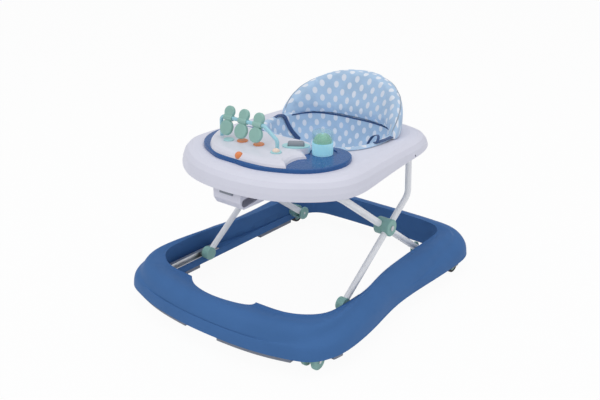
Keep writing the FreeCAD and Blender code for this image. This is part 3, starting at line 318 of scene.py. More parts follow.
tube_paint = powder_coat("tube_paint", screen(249, 250, 253))
zinc_steel = plated_steel("zinc_steel", screen(196, 198, 202))
strip_grey = rubber("strip_grey", screen(138, 144, 158), 0.75)
tyre_black = rubber("tyre_black", screen(44, 46, 50), 0.8)
print("finishes so far", len(bpy.data.materials))

# %% [markdown]
# ## Clear plastic
# The ball sits in a clear moulded cylinder. Full glass tracing would darken it and bend the ball out of
# shape, so the wall is mostly see-through and shows itself where it turns edge-on and where the lamps
# glint.

# %% Clear plastic
clear = Finish("clear_plastic")
rim = clear.node("ShaderNodeLayerWeight", None, {"Blend": 0.2}).out("Facing")
see = clear.node("ShaderNodeBsdfTransparent", None, {"Color": screen(243, 250, 253)}).out()
smear = clear.noise(60.0, 2.0).ramp(0.3, 0.8)
gloss = {"Base Color": screen(205, 228, 238), "Roughness": smear * 0.06 + 0.07}
glint = clear.node("ShaderNodeBsdfPrincipled", None, gloss).out()
wall = clear.node("ShaderNodeMixShader", None, {0: rim * 0.35 + 0.08, 1: see, 2: glint}).out()
clear.node("ShaderNodeOutputMaterial", None, {"Surface": wall})
clear_plastic = clear.material
print("clear plastic ready")

# %% [markdown]
# ## Printed cloth
# The seat is a woven polyester with a printed pattern of pale ovals in staggered rows. The print has to run
# over the whole cloth at one size, so each sewn piece carries its own flat coordinate, in metres along the
# cloth, and the ovals are worked out from it: fold the coordinate into one repeat, measure how far it is
# from the middle, and threshold. The weave is two crossed waves, far finer than the ovals.

# %% Cloth
CLOTH_PLACE = "cloth"
OVAL_PITCH, OVAL_ROW = 0.034, 0.0165
OVAL_WIDE, OVAL_TALL = 0.0058, 0.0074
OVAL_RAGGED = 0.06
THREAD = 0.0007
THREAD_SHADE = 0.07


def printed_cloth(name, ground, ovals=None, sheen=0.35):
    """Woven cloth, plain or with ovals of a second colour printed on it."""
    finish = Finish(name)
    flat = finish.node("ShaderNodeAttribute", {"attribute_name": CLOTH_PLACE}).out("Vector")
    parts = finish.node("ShaderNodeSeparateXYZ", None, {0: flat})
    along, up = parts.out(0), parts.out(1)
    tone = Vector(ground[:3])
    cloud = finish.noise(26.0, 3.0).ramp(0.3, 0.7)
    skin = finish.mix(cloud, (*(tone * 0.93), 1), (*(tone * 1.05), 1))
    if ovals:
        wobble = (finish.noise(160.0, 1.0) - 0.5) * OVAL_RAGGED

        def dot(shift_along, shift_up):
            """Distance from the nearest oval's middle, 1 at its edge."""
            near = ((along + shift_along) / OVAL_PITCH).maths("FRACT") - 0.5
            high = ((up + shift_up) / (2 * OVAL_ROW)).maths("FRACT") - 0.5
            wide = near * (OVAL_PITCH / OVAL_WIDE)
            tall = high * (2 * OVAL_ROW / OVAL_TALL)
            return (wide * wide + tall * tall) ** 0.5 + wobble

        nearest = dot(1.0, 1.0).maths("MINIMUM", dot(1.0 + OVAL_PITCH / 2, 1.0 + OVAL_ROW))
        print_mask = 1 - nearest.ramp(0.86, 1.14)
        skin = finish.mix(print_mask, skin, ovals)
    warp = (along * (2 * math.pi / THREAD)).maths("SINE")
    weft = (up * (2 * math.pi / THREAD)).maths("SINE")
    weave = warp * weft * 0.5 + abs(warp) * 0.5
    thread_shade = weave.ramp(-0.3, 0.9) * THREAD_SHADE
    skin = finish.mix(thread_shade, skin, (*(tone * 0.55), 1))
    rumpled = finish.bump(finish.noise(70.0, 3.0), 0.35, 0.003)
    normal = finish.bump(weave, 0.35, 0.0003, rumpled)
    return finish.done(color=skin, rough=0.86 + cloud * 0.06, normal=normal, sheen=sheen, sheen_rough=0.5)


seat_print = printed_cloth("seat_print", screen(184, 212, 240), screen(240, 244, 253))
binding_pale = printed_cloth("binding_pale", screen(160, 174, 190))
binding_blue = printed_cloth("binding_blue", screen(96, 124, 158))
webbing_navy = printed_cloth("webbing_navy", screen(52, 84, 134), sheen=0.2)
print("cloth ready, rows of ovals", OVAL_ROW * 1000, "mm apart")

# %% [markdown]
# ## Dressing the moulded parts
# The moulded and metal parts already have their true shape, so they only need the right finish. One table
# says which parts wear which material, and the cell prints whatever it leaves bare.

# %% Finish for each solid part
DRESS = {
    ring_blue: ("base_shell",),
    tray_pale: ("tray_shell", "height_adjuster_housing"),
    console_white: ("toy_console",),
    toy_blue: ("toy_tray",),
    hub_mint: ("hub_inner", "hub_outer", "foot_fitting", "rear_pivot_bracket", "rear_wheel", "caster_fork",
               "caster_outer_wheel", "caster_inner_wheel"),
    paddle_green: ("paddle_left", "paddle_middle", "paddle_right"),
    bar_aqua: ("paddle_bar",),
    button_orange: ("round_button_2", "round_button_3", "front_knob"),
    button_aqua: ("round_button_1", "round_button_4", "oval_dish"),
    soft_grey: ("toy_roller", "height_release_button"),
    slider_grey: ("rail_slider", "rear_wheel_bracket"),
    ball_green: ("spinning_ball",),
    pot_aqua: ("ball_pot",),
    tube_paint: ("front_leg_tube", "rear_leg_frame"),
    zinc_steel: ("guide_rail", "hub_rivets", "rear_pivot_pins", "rear_wheel_axles", "tray_pivot_pins",
                 "caster_axle"),
    strip_grey: ("front_grip_strips", "side_grip_strips", "corner_grip_pads"),
    tyre_black: ("rear_tyre",),
    clear_plastic: ("clear_cylinder",),
}
dressed = set()
for material, kinds in DRESS.items():
    for name in (side + kind for kind in kinds for side in ("", "left_", "right_")):
        if name in nodes:
            nodes[name].data.materials.clear()
            nodes[name].data.materials.append(material)
            dressed.add(name)
print("dressed", len(dressed), "left for cloth", sorted(set(nodes) - dressed))

# %% [markdown]
# The fourth button has a soft peach dome in the middle of its ring. It is a shallow cap of rings of points,
# and it rides on the button, so it goes down when the button is pressed.

# %% Dome of the fourth button
DOME_WIDE, DOME_TALL, DOME_SUNK = 0.0078, 0.0068, 0.0004
peach_soft = plastic("peach_soft", screen(250, 222, 206), rough=0.4, grain=0.04, drift=0.02, soft=0.4)
button_low, button_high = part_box("round_button_4")
dome_spot = (button_low + button_high) / 2
dome_spot.z = button_high.z - DOME_SUNK
dome = bmesh.new()
bmesh.ops.create_uvsphere(dome, u_segments=32, v_segments=16, radius=1.0)
bmesh.ops.delete(dome, geom=[v for v in dome.verts if v.co.z < -1e-4], context="VERTS")
bmesh.ops.contextual_create(dome, geom=[edge for edge in dome.edges if edge.is_boundary])
bmesh.ops.scale(dome, vec=(DOME_WIDE, DOME_WIDE, DOME_TALL), verts=dome.verts)
bmesh.ops.translate(dome, vec=dome_spot, verts=dome.verts)
dome_mesh = bpy.data.meshes.new("button_dome")
dome.to_mesh(dome_mesh)
dome.free()
dome_mesh.shade_smooth()
button_dome = bpy.data.objects.new("button_4_dome", dome_mesh)
bpy.context.scene.collection.objects.link(button_dome)
button_dome.data.materials.append(peach_soft)
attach(button_dome, "button_4")
print("dome at", [round(v, 4) for v in dome_spot])

# %% [markdown]
# ## Tools for sewn pieces
# A sewn piece starts as a grid of points, rows by columns, skinned with four-sided faces. A second tool
# sweeps a round cord along a path for piping and bindings, and a third bakes modifiers into the mesh, so
# that what is stored is the shape that shows.


# %% Mesh helpers
CORD_SIDES = 10


def skin_grid(name, rows, closed_rows=False, flat=None):
    """Tube of faces over rings of points. flat gives each point's place on the cloth, in metres."""
    mesh = bpy.data.meshes.new(name)
    wide = len(rows[0])
    points = [point for row in rows for point in row]
    faces = []
    for row in range(len(rows) if closed_rows else len(rows) - 1):
        start, end = row * wide, (row + 1) % len(rows) * wide
        for column in range(wide):
            after = (column + 1) % wide
            faces.append((start + column, start + after, end + after, end + column))
    mesh.from_pydata(points, [], faces)
    if flat:
        layer = mesh.attributes.new(CLOTH_PLACE, "FLOAT_VECTOR", "POINT")
        for index, value in enumerate(place for line in flat for place in line):
            layer.data[index].vector = value
    piece = bpy.data.objects.new(name, mesh)
    bpy.context.scene.collection.objects.link(piece)
    return piece


def settled(piece):
    """Apply every modifier and smooth the shading."""
    graph = bpy.context.evaluated_depsgraph_get()
    mesh = bpy.data.meshes.new_from_object(piece.evaluated_get(graph), preserve_all_data_layers=True,
                                           depsgraph=graph)
    piece.modifiers.clear()
    piece.data = mesh
    mesh.shade_smooth()
    return piece


def wear(piece, material, body, slot, *stands_for):
    """Give a piece its finish and its body, and hide the solids it stands for.
    slot is not used.
    """
    piece.data.materials.clear()
    piece.data.materials.append(material)
    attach(piece, body)
    if stands_for:
        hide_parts(*stands_for)
    return piece


def piping(name, path, radius, closed=False):
    """Round cord swept along a path, with its own cloth coordinate. Open ends taper."""
    rows, flat, run = [], [], 0.0
    count = len(path)
    for index, point in enumerate(path):
        ahead = path[(index + 1) % count] if closed or index + 1 < count else point
        behind = path[index - 1] if closed or index else point
        tangent = (ahead - behind).normalized()
        side = tangent.cross(Vector((0, 0, 1)))
        side = side.normalized() if side.length > 1e-4 else Vector((1, 0, 0))
        up = side.cross(tangent)
        if index:
            run += (point - path[index - 1]).length
        taper = 1.0 if closed else min(1.0, 0.25 + min(index, count - 1 - index) * 0.4)
        ring, line = [], []
        for step in range(CORD_SIDES):
            angle = 2 * math.pi * step / CORD_SIDES
            ring.append(point + (side * math.cos(angle) + up * math.sin(angle)) * radius * taper)
            line.append((run, radius * angle, 0))
        rows.append(ring)
        flat.append(line)
    piece = skin_grid(name, rows, closed, flat)
    if not closed:
        cap_ends(piece, len(rows), CORD_SIDES)
    piece.data.shade_smooth()
    return piece


def cap_ends(piece, rows, sides):
    """Close the first and the last ring with a face."""
    mesh = bmesh.new()
    mesh.from_mesh(piece.data)
    mesh.verts.ensure_lookup_table()
    for start in (0, (rows - 1) * sides):
        mesh.faces.new([mesh.verts[start + step] for step in range(sides)])
    bmesh.ops.recalc_face_normals(mesh, faces=mesh.faces)
    mesh.to_mesh(piece.data)
    mesh.free()


def smooth_path(points, steps, closed=False):
    """Points of a smooth curve through the given points."""
    points = [Vector(p) for p in points]
    count = len(points)
    path = []
    for index in range(count if closed else count - 1):
        if closed:
            a, b, c, d = (points[(index + shift) % count] for shift in (-1, 0, 1, 2))
        else:
            b, c = points[index], points[index + 1]
            a = points[index - 1] if index else b * 2 - c
            d = points[index + 2] if index + 2 < count else c * 2 - b
        for step in range(steps):
            t = step / steps
            path.append(0.5 * (2 * b + (c - a) * t + (2 * a - 5 * b + 4 * c - d) * t * t
                               + (3 * b - a - 3 * c + d) * t ** 3))
    if not closed:
        path.append(points[-1])
    return path


print("mesh helpers ready")

# %% [markdown]
# ## Seat back
# The seat back is a crescent of foam in a printed cover, standing on the tray behind the child and wrapping
# round to the elbows. Its height follows an arch: highest at the spine, falling to nothing at the wing
# tips. It is laid out as rings of points round the foam, one ring for each step along the crescent, then
# inflated as cloth so the cover is taut and crowned as a stuffed one is.

# %% Seat back: measures
back_low, back_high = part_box("seat_back")
tray_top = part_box("tray_shell")[1].z
CENTRE_Y = back_low.y
HALF_WIDE = back_high.x - 0.015
DEEP = back_high.y - back_low.y - 0.013
RISE = back_high.z - back_low.z
TIP_RISE = 0.004
CREST, WING, SPINE = 0.017, 0.029, 0.053
LEAN, TUCK = 0.008, 0.003
SKIRT = 0.007
print("seat back half width", round(HALF_WIDE, 4), "rise", round(RISE, 4))


# %% Seat back: crescent
RUN_STEPS = 40
STEPS_ALONG, STEPS_ROUND = 110, 44
BOTTOM, THINNED = 0.0012, 0.0022
ARCH_POWER, FOOT_POWER = 0.66, 1.3
TIP_SPAN, TIP_SHARE = 0.12, 0.35
TOP_ROUND, FOOT_ROUND, SIDE_ROUND = 0.7, 0.32, 0.6
SKIRT_FROM, SKIRT_OVER, LOW_ARCH = 0.6, 0.4, 0.05


def crescent_point(turn, inward, height):
    """Point of the seat back: turn along the crescent, inward from its outer face."""
    up = height / RISE
    wide, deep = HALF_WIDE - TUCK * up * up, DEEP + LEAN * (up * up - 0.5)
    spot = Vector((wide * math.cos(turn), CENTRE_Y + deep * math.sin(turn), back_low.z + height))
    normal = Vector((math.cos(turn) / wide, math.sin(turn) / deep, 0)).normalized()
    return spot - normal * inward


def back_rise(turn):
    """Height of the arch above the tray at one turn of the crescent."""
    return max(TIP_RISE, RISE * max(0.0, math.sin(turn)) ** ARCH_POWER)


def padding(turn, up):
    """Thickness of the foam: up is 0 at the tray and 1 at the arch. It thins towards the tips."""
    foot = WING + (SPINE - WING) * math.sin(turn) ** 3
    end = min(1.0, (max(0.0, math.sin(turn)) / TIP_SPAN) ** 0.5)
    thick = CREST + (foot - CREST) * max(0.0, 1 - up) ** FOOT_POWER
    return thick * (TIP_SHARE + (1 - TIP_SHARE) * end)


def crescent_run(turn):
    """Length along the inner face of the crescent from its left tip."""
    wide, deep, total = HALF_WIDE - WING, DEEP - WING, 0.0
    for step in range(RUN_STEPS):
        middle = turn * (step + 0.5) / RUN_STEPS
        total += math.hypot(wide * math.sin(middle), deep * math.cos(middle)) * turn / RUN_STEPS
    return total


rows = []
for along in range(STEPS_ALONG + 1):
    turn = math.pi * (0.006 + 0.988 * (0.5 - 0.5 * math.cos(math.pi * along / STEPS_ALONG)))
    high = back_rise(turn)
    ring = []
    for step in range(STEPS_ROUND):
        angle = 2 * math.pi * step / STEPS_ROUND
        c, s = math.cos(angle), math.sin(angle)
        across = 0.5 - 0.5 * math.copysign(abs(c) ** (TOP_ROUND if s > 0 else FOOT_ROUND), c)
        up = 0.5 + 0.5 * math.copysign(abs(s) ** SIDE_ROUND, s)
        skirt = max(0.0, across - SKIRT_FROM) / SKIRT_OVER * (1 - up) ** 3 * min(1.0, high / LOW_ARCH)
        height = BOTTOM + (high - THINNED) * up - SKIRT * skirt
        ring.append(crescent_point(turn, across * padding(turn, up), height))
    rows.append(ring)
seat_pad = skin_grid("seat_back_pad", rows)
cap_ends(seat_pad, len(rows), STEPS_ROUND)
print("seat back cage", len(seat_pad.data.vertices))

# %% [markdown]
# The cover is inflated with gravity off: pressure pushes it out until the cloth's own tension holds it. How
# far a point may move is capped, so the foam keeps its size, and the bottom is held flat on the tray.


# %% Seat back: inflate
PUFF_STEPS = 20
CLOTH_SHRINK = -0.03


def inflate(piece, voxel, pressure, cap, floor_z):
    """Puff a closed mesh as taut cloth, with a cap on how far each point moves."""
    remesh = piece.modifiers.new("voxels", "REMESH")
    remesh.mode, remesh.voxel_size = "VOXEL", voxel
    ease = piece.modifiers.new("ease", "SMOOTH")
    ease.factor, ease.iterations = 0.5, 4
    settled(piece)
    start = [v.co.copy() for v in piece.data.vertices]
    cloth = piece.modifiers.new("cloth", "CLOTH")
    cloth.settings.use_pressure = True
    cloth.settings.uniform_pressure_force = pressure
    cloth.settings.shrink_min = CLOTH_SHRINK
    cloth.settings.effector_weights.gravity = 0
    cloth.settings.quality = 5
    cloth.collision_settings.use_collision = False
    for step in range(1, PUFF_STEPS + 1):
        bpy.context.scene.frame_set(step)
    settled(piece)
    bpy.context.scene.frame_set(1)
    for vertex, was in zip(piece.data.vertices, start):
        move = vertex.co - was
        if move.length > cap:
            vertex.co = was + move * (cap / move.length)
        vertex.co.z = max(vertex.co.z, min(was.z, floor_z))
    return piece


inflate(seat_pad, voxel=0.0042, pressure=4.0, cap=0.005, floor_z=back_low.z + 0.0006)
print("seat back puffed", len(seat_pad.data.vertices))

# %% [markdown]
# The print has to follow the cover: along the crescent, up the front, over the arch and down the rear. An
# unwrapped map would have seams where the real cover has none, so each point's place on the cloth is worked
# out from where it is: its turn along the crescent gives one number, and its height and depth in the foam
# give the other.

# %% Seat back: place on the cloth
RUN_ENTRIES = 64
OUTMOST, INMOST, HALVINGS = -0.03, 0.09, 16
REAR_FROM, REAR_OVER = 0.6, 0.2
run_table = [crescent_run(math.pi * step / RUN_ENTRIES) for step in range(RUN_ENTRIES + 1)]


def crescent_place(x, y):
    """Turn and inward distance of a point in plan, found by halving the span of possible distances."""
    y = max(0.0, y - CENTRE_Y)
    outer, inner = OUTMOST, INMOST
    for halving in range(HALVINGS):
        inward = (outer + inner) / 2
        if (x / (HALF_WIDE - inward)) ** 2 + (y / (DEEP - inward)) ** 2 > 1:
            inner = inward
        else:
            outer = inward
    return math.atan2(y / (DEEP - inward), x / (HALF_WIDE - inward)), inward


def run_at(turn):
    """Length along the crescent at one turn, read from the table."""
    place = min(RUN_ENTRIES - 0.001, max(0.0, turn / math.pi * RUN_ENTRIES))
    low = int(place)
    return run_table[low] + (run_table[low + 1] - run_table[low]) * (place - low)


def over_the_arch(spot):
    """Place on the cover: along the crescent, and up the front, over the arch and down the rear."""
    height = spot.z - back_low.z
    turn, inward = crescent_place(spot.x, spot.y)
    high = back_rise(turn)
    thick = padding(turn, min(1.0, height / high))
    top = min(1.0, max(0.0, 1 - inward / thick))
    rear = min(1.0, max(0.0, (REAR_FROM - inward / thick) / REAR_OVER))
    below = max(0.0, high - height)
    return (run_at(turn), high - below + top * thick + rear * 2 * below, 0)


def creases(piece, depth, scale, seed):
    """Soft hollows where the cover gathers."""
    normals = [vertex.normal.copy() for vertex in piece.data.vertices]
    for vertex, normal in zip(piece.data.vertices, normals):
        wave = noise.noise(vertex.co * scale + Vector((seed, 0, 0)))
        vertex.co += normal * wave * depth


def smooth_once(piece):
    """One round of subdivision, baked in."""
    subdivide = piece.modifiers.new("smooth", "SUBSURF")
    subdivide.levels = subdivide.render_levels = 1
    settled(piece)


creases(seat_pad, depth=0.0010, scale=17.0, seed=3.0)
smooth_once(seat_pad)
layer = seat_pad.data.attributes.new(CLOTH_PLACE, "FLOAT_VECTOR", "POINT")
for index, vertex in enumerate(seat_pad.data.vertices):
    layer.data[index].vector = over_the_arch(vertex.co)
wear(seat_pad, seat_print, "tray", "dotted_fabric", "seat_back")
print("seat back", len(seat_pad.data.vertices), "points")

# %% [markdown]
# A thin pale cord runs in the seam over the arch. Each of its points is found by shooting a line at the
# puffed cover, so the cord lies on it and nowhere floats.

# %% Seat back: piping
pad_surface = BVHTree.FromObject(seat_pad, bpy.context.evaluated_depsgraph_get())


def first_hit(surfaces, start, aim):
    """Where a line from start towards aim first meets one of the surfaces."""
    hits = [surface.ray_cast(start, (aim - start).normalized())[0] for surface in surfaces]
    hits = [hit for hit in hits if hit]
    return min(hits, key=lambda hit: (hit - start).length) if hits else aim


ARCH_STITCHES = 40
arch_path = []
for step in range(ARCH_STITCHES + 1):
    turn = math.pi * (0.02 + 0.96 * step / ARCH_STITCHES)
    high = back_rise(turn)
    heart = crescent_point(turn, padding(turn, 1) * 0.5, high * 0.75)
    arch_path.append(first_hit([pad_surface], crescent_point(turn, -0.03, high + 0.045), heart))
arch_piping = piping("seat_back_piping", smooth_path(arch_path, 4), 0.0013)
wear(arch_piping, binding_pale, "tray", "dotted_fabric")
print("piping run", round(crescent_run(math.pi), 3), "m")

# %% [markdown]
# ## Seat sling
# The sling is one printed bag. Its mouth is hemmed over the edge of the tray's opening, its sides fall
# nearly straight and then gather in to a narrow seat, and two bound holes let the legs through at the
# front. The rings of its grid follow the opening, and each goes lower and further in than the last.

# %% Seat sling: measures
sling_low, sling_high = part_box("seat_sling")
MIDDLE_Y = (sling_low.y + sling_high.y) / 2
HALF_X = (sling_high.x - sling_low.x) / 2
SEAT_SHAPE = ((0, 0), (0.43, 0.012), (0.785, 0.092), (0.97, 0.287), (1, 0.535), (0.943, 0.76),
              (0.75, 0.92), (0.39, 0.99), (0, 1))
seat_long = sling_high.y - sling_low.y
half_outline = [Vector((x * HALF_X, sling_low.y + y * seat_long, 0)) for x, y in SEAT_SHAPE]
other_half = [Vector((-point.x, point.y, 0)) for point in half_outline[-2:0:-1]]
mouth = smooth_path(half_outline + other_half, 8, closed=True)
mouth_run = [0.0]
for first, last in zip(mouth, mouth[1:] + mouth[:1]):
    mouth_run.append(mouth_run[-1] + (last - first).length)
print("mouth of the sling", len(mouth), "points,", round(mouth_run[-1], 3), "m round")

# %% Seat sling: rings
HIDDEN_FROM, HIDDEN_OVER, HIDDEN_FLAT = 0.012, 0.03, 0.55
FOLDS, FOLD_DEEP = 24, 0.012
GATHER_FROM, GATHER_OVER = 0.01, 0.045
SLING_RINGS = (
    (0.0125, 0.0010, 1.0), (0.0130, 0.0022, 1.0), (0.0105, 0.0034, 1.0), (0.0060, 0.0042, 1.0),
    (0.0015, 0.0044, 1.0), (-0.0022, 0.0026, 1.0), (-0.0034, -0.0030, 1.0), (-0.0038, -0.0120, 0.995),
    (-0.0042, -0.0240, 0.985), (-0.0046, -0.0380, 0.96), (-0.0050, -0.0520, 0.915), (-0.0050, -0.0650, 0.855),
    (-0.0050, -0.0780, 0.77), (-0.0050, -0.0890, 0.66), (-0.0050, -0.0960, 0.54), (-0.0050, -0.1000, 0.40),
    (-0.0050, -0.1015, 0.25), (-0.0050, -0.1020, 0.10),
)


def mouth_normal(index):
    """Outward direction at one point of the mouth."""
    ahead, behind = mouth[(index + 1) % len(mouth)], mouth[index - 1]
    return Vector(((ahead - behind).y, -(ahead - behind).x, 0)).normalized()


rows, depth_run = [], [0.0]
for level, (step_out, drop, share) in enumerate(SLING_RINGS):
    if level:
        before = SLING_RINGS[level - 1]
        run = math.hypot((before[2] - share) * HALF_X + before[0] - step_out, drop - before[1])
        depth_run.append(depth_run[-1] + run)
    ring = []
    for index, point in enumerate(mouth):
        covered = min(1.0, max(0.0, (point.y - CENTRE_Y - HIDDEN_FROM) / HIDDEN_OVER))
        hem = max(0.0, step_out) * (1 - covered) + min(0.0, step_out)
        spot = point + mouth_normal(index) * hem
        rise = drop * (1 - HIDDEN_FLAT * covered) if drop > 0 else drop
        spot = Vector((spot.x * share, MIDDLE_Y + (spot.y - MIDDLE_Y) * share, tray_top + rise))
        gather = min(1, max(0.0, -drop - GATHER_FROM) / GATHER_OVER)
        fold = noise.noise(Vector((mouth_run[index] * FOLDS, 2.0, drop * 4)))
        inward = Vector((spot.x, spot.y - MIDDLE_Y, 0)).normalized()
        ring.append(spot - inward * abs(fold) * FOLD_DEEP * gather)
    rows.append(ring)
seat_sling = skin_grid("seat_sling_cloth", rows)
print("sling grid", len(rows), "by", len(mouth))

# %% [markdown]
# The side wall and the seat panel are two cuts of cloth joined by a seam, so their prints meet there at an
# angle. The place on the cloth is kept for each corner of each face: a face of the wall unrolls along the
# mouth, and a face of the seat panel is laid out flat, seen from above.

# %% Seat sling: place on the cloth
WALL_LEVELS = 12
CLOTH_THICK = 0.0022
layer = seat_sling.data.attributes.new(CLOTH_PLACE, "FLOAT_VECTOR", "CORNER")
for face in seat_sling.data.polygons:
    spots = [divmod(vertex, len(mouth)) for vertex in face.vertices]
    columns = [column for level, column in spots]
    closing = max(columns) - min(columns) > 1
    on_wall = min(level for level, column in spots) < WALL_LEVELS
    for corner, (level, column) in zip(face.loop_indices, spots):
        if on_wall:
            run = mouth_run[len(mouth)] if closing and column == 0 else mouth_run[column]
            layer.data[corner].vector = (run, -depth_run[level], 0)
        else:
            layer.data[corner].vector = (rows[level][column].x, rows[level][column].y, 0)

mesh = bmesh.new()
mesh.from_mesh(seat_sling.data)
inmost = [edge for edge in mesh.edges if edge.is_boundary and edge.verts[0].co.z < tray_top - 0.05]
bmesh.ops.contextual_create(mesh, geom=inmost)
mesh.to_mesh(seat_sling.data)
mesh.free()
shell = seat_sling.modifiers.new("cloth thickness", "SOLIDIFY")
shell.thickness, shell.offset = CLOTH_THICK, 0
smooth_once(seat_sling)
print("sling before the leg holes", len(seat_sling.data.vertices), "points")

# %% [markdown]
# Each leg hole is cut by a round punch that points forward and down, as a leg does. The binding round its
# edge follows the punch too: lines shot along the punch's side meet the cloth exactly where the edge is.

# %% Seat sling: leg holes
LEG_RADIUS = 0.040
LEG_APART, LEG_BACK, LEG_DOWN = 0.076, 0.046, 0.074
PUNCH = 0.05
EDGE_STITCHES = 48
leg_loops = []
uncut = BVHTree.FromObject(seat_sling, bpy.context.evaluated_depsgraph_get())
for side in (1, -1):
    hub = Vector((side * LEG_APART, sling_low.y + LEG_BACK, tray_top - LEG_DOWN))
    aim = Vector((side * 0.30, -0.80, -0.80)).normalized()
    turned = aim.to_track_quat("Z", "Y")
    bpy.ops.mesh.primitive_cylinder_add(vertices=64, radius=LEG_RADIUS, depth=2 * PUNCH, location=hub)
    punch = bpy.context.object
    punch.rotation_mode = "QUATERNION"
    punch.rotation_quaternion = turned
    cut = seat_sling.modifiers.new("leg hole", "BOOLEAN")
    cut.operation, cut.object, cut.solver = "DIFFERENCE", punch, "EXACT"
    settled(seat_sling)
    bpy.data.objects.remove(punch)
    loop = []
    for step in range(EDGE_STITCHES):
        angle = 2 * math.pi * step / EDGE_STITCHES
        start = hub + turned @ Vector((math.cos(angle) * LEG_RADIUS, math.sin(angle) * LEG_RADIUS, -PUNCH))
        hit = uncut.ray_cast(start, aim)[0]
        if hit:
            loop.append(hit + aim * CLOTH_THICK / 2)
    print("leg hole", side, "edge points", len(loop))
    leg_loops.append(loop)

# %% Seat sling: cover and bindings
wear(seat_sling, seat_print, "tray", "dotted_fabric", "seat_sling")
for index, loop in enumerate(leg_loops):
    binding = piping("leg_binding_%d" % (index + 1), smooth_path(loop, 2, closed=True), 0.0026, closed=True)
    wear(binding, binding_blue, "tray", "dotted_fabric")
print("sling", len(seat_sling.data.vertices), "points")

# %% [markdown]
# A dark cord covers the seam where the foot of the seat back meets the sling. It is found in the same way,
# by shooting lines from inside the seat at both pieces and keeping whichever is met first.

# %% Seat sling: dark cord
sling_surface = BVHTree.FromObject(seat_sling, bpy.context.evaluated_depsgraph_get())
FOOT_STITCHES = 40
foot_path = []
for step in range(FOOT_STITCHES + 1):
    turn = math.pi * (0.035 + 0.93 * step / FOOT_STITCHES)
    low = 0.0004 - SKIRT * 0.2 * min(1.0, back_rise(turn) / LOW_ARCH)
    inside = crescent_point(turn, padding(turn, 0) + 0.03, low)
    aim = crescent_point(turn, 0.01, low + 0.001)
    foot_path.append(first_hit([pad_surface, sling_surface], inside, aim))
foot_piping = piping("seat_foot_piping", smooth_path(foot_path, 4), 0.0018)
wear(foot_piping, webbing_navy, "tray", "navy_webbing")
print("dark cord through", len(foot_path), "points")

# %% [markdown]
# ## Straps
# Two flat navy straps hold the sling to the seat back, and each is laid out in two lengths. It starts under
# a wing tip, runs forward along the hem, turns over the edge of the opening and goes down into the seat.
# Webbing keeps its width, so a length is a ribbon: a path, a width across it and a small thickness.


# %% Straps: ribbon helper
WEBBING_THICK = 0.0013
STRAP_CELLS = 8
LAID_BELOW, LAID_CLEAR = 0.004, 0.0012


def ribbon(name, path, across, wide):
    """Flat strap along a path. across gives the direction of its width at each point."""
    rows, flat, run = [], [], 0.0
    for index, point in enumerate(path):
        ahead = path[min(index + 1, len(path) - 1)]
        behind = path[max(index - 1, 0)]
        tangent = (ahead - behind).normalized()
        width = across[index] - tangent * across[index].dot(tangent)
        width.normalize()
        up = tangent.cross(width)
        if index:
            run += (point - path[index - 1]).length
        ring, line = [], []
        for face in (1, -1):
            for step in range(STRAP_CELLS + 1):
                share = (step / STRAP_CELLS * 2 - 1) * face
                ring.append(point + width * share * wide / 2 + up * face * WEBBING_THICK / 2)
                line.append((run, share * wide / 2, 0))
        rows.append(ring)
        flat.append(line)
    piece = skin_grid(name, rows, flat=flat)
    cap_ends(piece, len(rows), 2 * (STRAP_CELLS + 1))
    bevel = piece.modifiers.new("soft edges", "BEVEL")
    bevel.width, bevel.segments, bevel.limit_method = WEBBING_THICK * 0.3, 2, "ANGLE"
    return settled(piece)


def strap(name, points, widths, wide):
    """Strap through the given points. Below the tray it is laid on the inside of the sling."""
    path = smooth_path(points, 8)
    for index, point in enumerate(path):
        if point.z < tray_top - LAID_BELOW:
            outward = Vector((math.copysign(1, point.x), 0, 0))
            hit = sling_surface.ray_cast(Vector((point.x * 0.3, point.y, point.z)), outward)[0]
            if hit:
                path[index] = hit - outward * (WEBBING_THICK * 0.5 + LAID_CLEAR)
    piece = ribbon(name, path, smooth_path(widths, 8), wide)
    print(name, "runs", round(sum((b - a).length for a, b in zip(path, path[1:])), 3), "m")
    return wear(piece, webbing_navy, "tray", "navy_webbing")


# %% Straps: four lengths of webbing
EDGE = HALF_X
deck = tray_top + 0.0062
left_strap = strap(
    "seat_strap_left",
    ((EDGE + 0.012, MIDDLE_Y + 0.042, deck), (EDGE + 0.0125, MIDDLE_Y + 0.022, deck),
     (EDGE + 0.012, MIDDLE_Y + 0.002, deck), (EDGE + 0.010, MIDDLE_Y - 0.016, deck),
     (EDGE + 0.007, MIDDLE_Y - 0.030, deck + 0.0002)),
    ((1, 0, 0), (1, 0, 0), (1, 0, 0), (1, -0.1, 0), (1, -0.2, 0)), 0.010)
strap(
    "seat_strap_loop",
    ((EDGE + 0.011, MIDDLE_Y - 0.026, deck + 0.0010), (EDGE + 0.005, MIDDLE_Y - 0.012, deck + 0.0070),
     (EDGE - 0.005, MIDDLE_Y - 0.003, deck + 0.0085), (EDGE - 0.014, MIDDLE_Y - 0.008, deck + 0.0030),
     (EDGE - 0.0155, MIDDLE_Y - 0.021, deck - 0.008), (EDGE - 0.014, MIDDLE_Y - 0.032, deck - 0.024)),
    ((0.3, 1, 0), (0.4, 1, 0), (0.4, 1, 0), (0.4, 1, 0), (0.2, 1, -0.4), (0, 1, -0.4)), 0.006)
strap(
    "seat_strap_right",
    ((-EDGE - 0.003, MIDDLE_Y - 0.018, deck - 0.001), (-EDGE - 0.001, MIDDLE_Y - 0.004, deck + 0.0018),
     (-EDGE + 0.005, MIDDLE_Y + 0.008, deck - 0.004), (-EDGE + 0.0105, MIDDLE_Y + 0.016, deck - 0.022),
     (-EDGE + 0.014, MIDDLE_Y + 0.024, deck - 0.042), (-EDGE + 0.022, MIDDLE_Y + 0.034, deck - 0.062)),
    ((-0.9, 0.4, 0), (-0.8, 0.6, 0), (-0.2, 1, 0.3), (0, 1, 0.4), (0, 1, 0.5), (0, 1, 0.6)), 0.011)
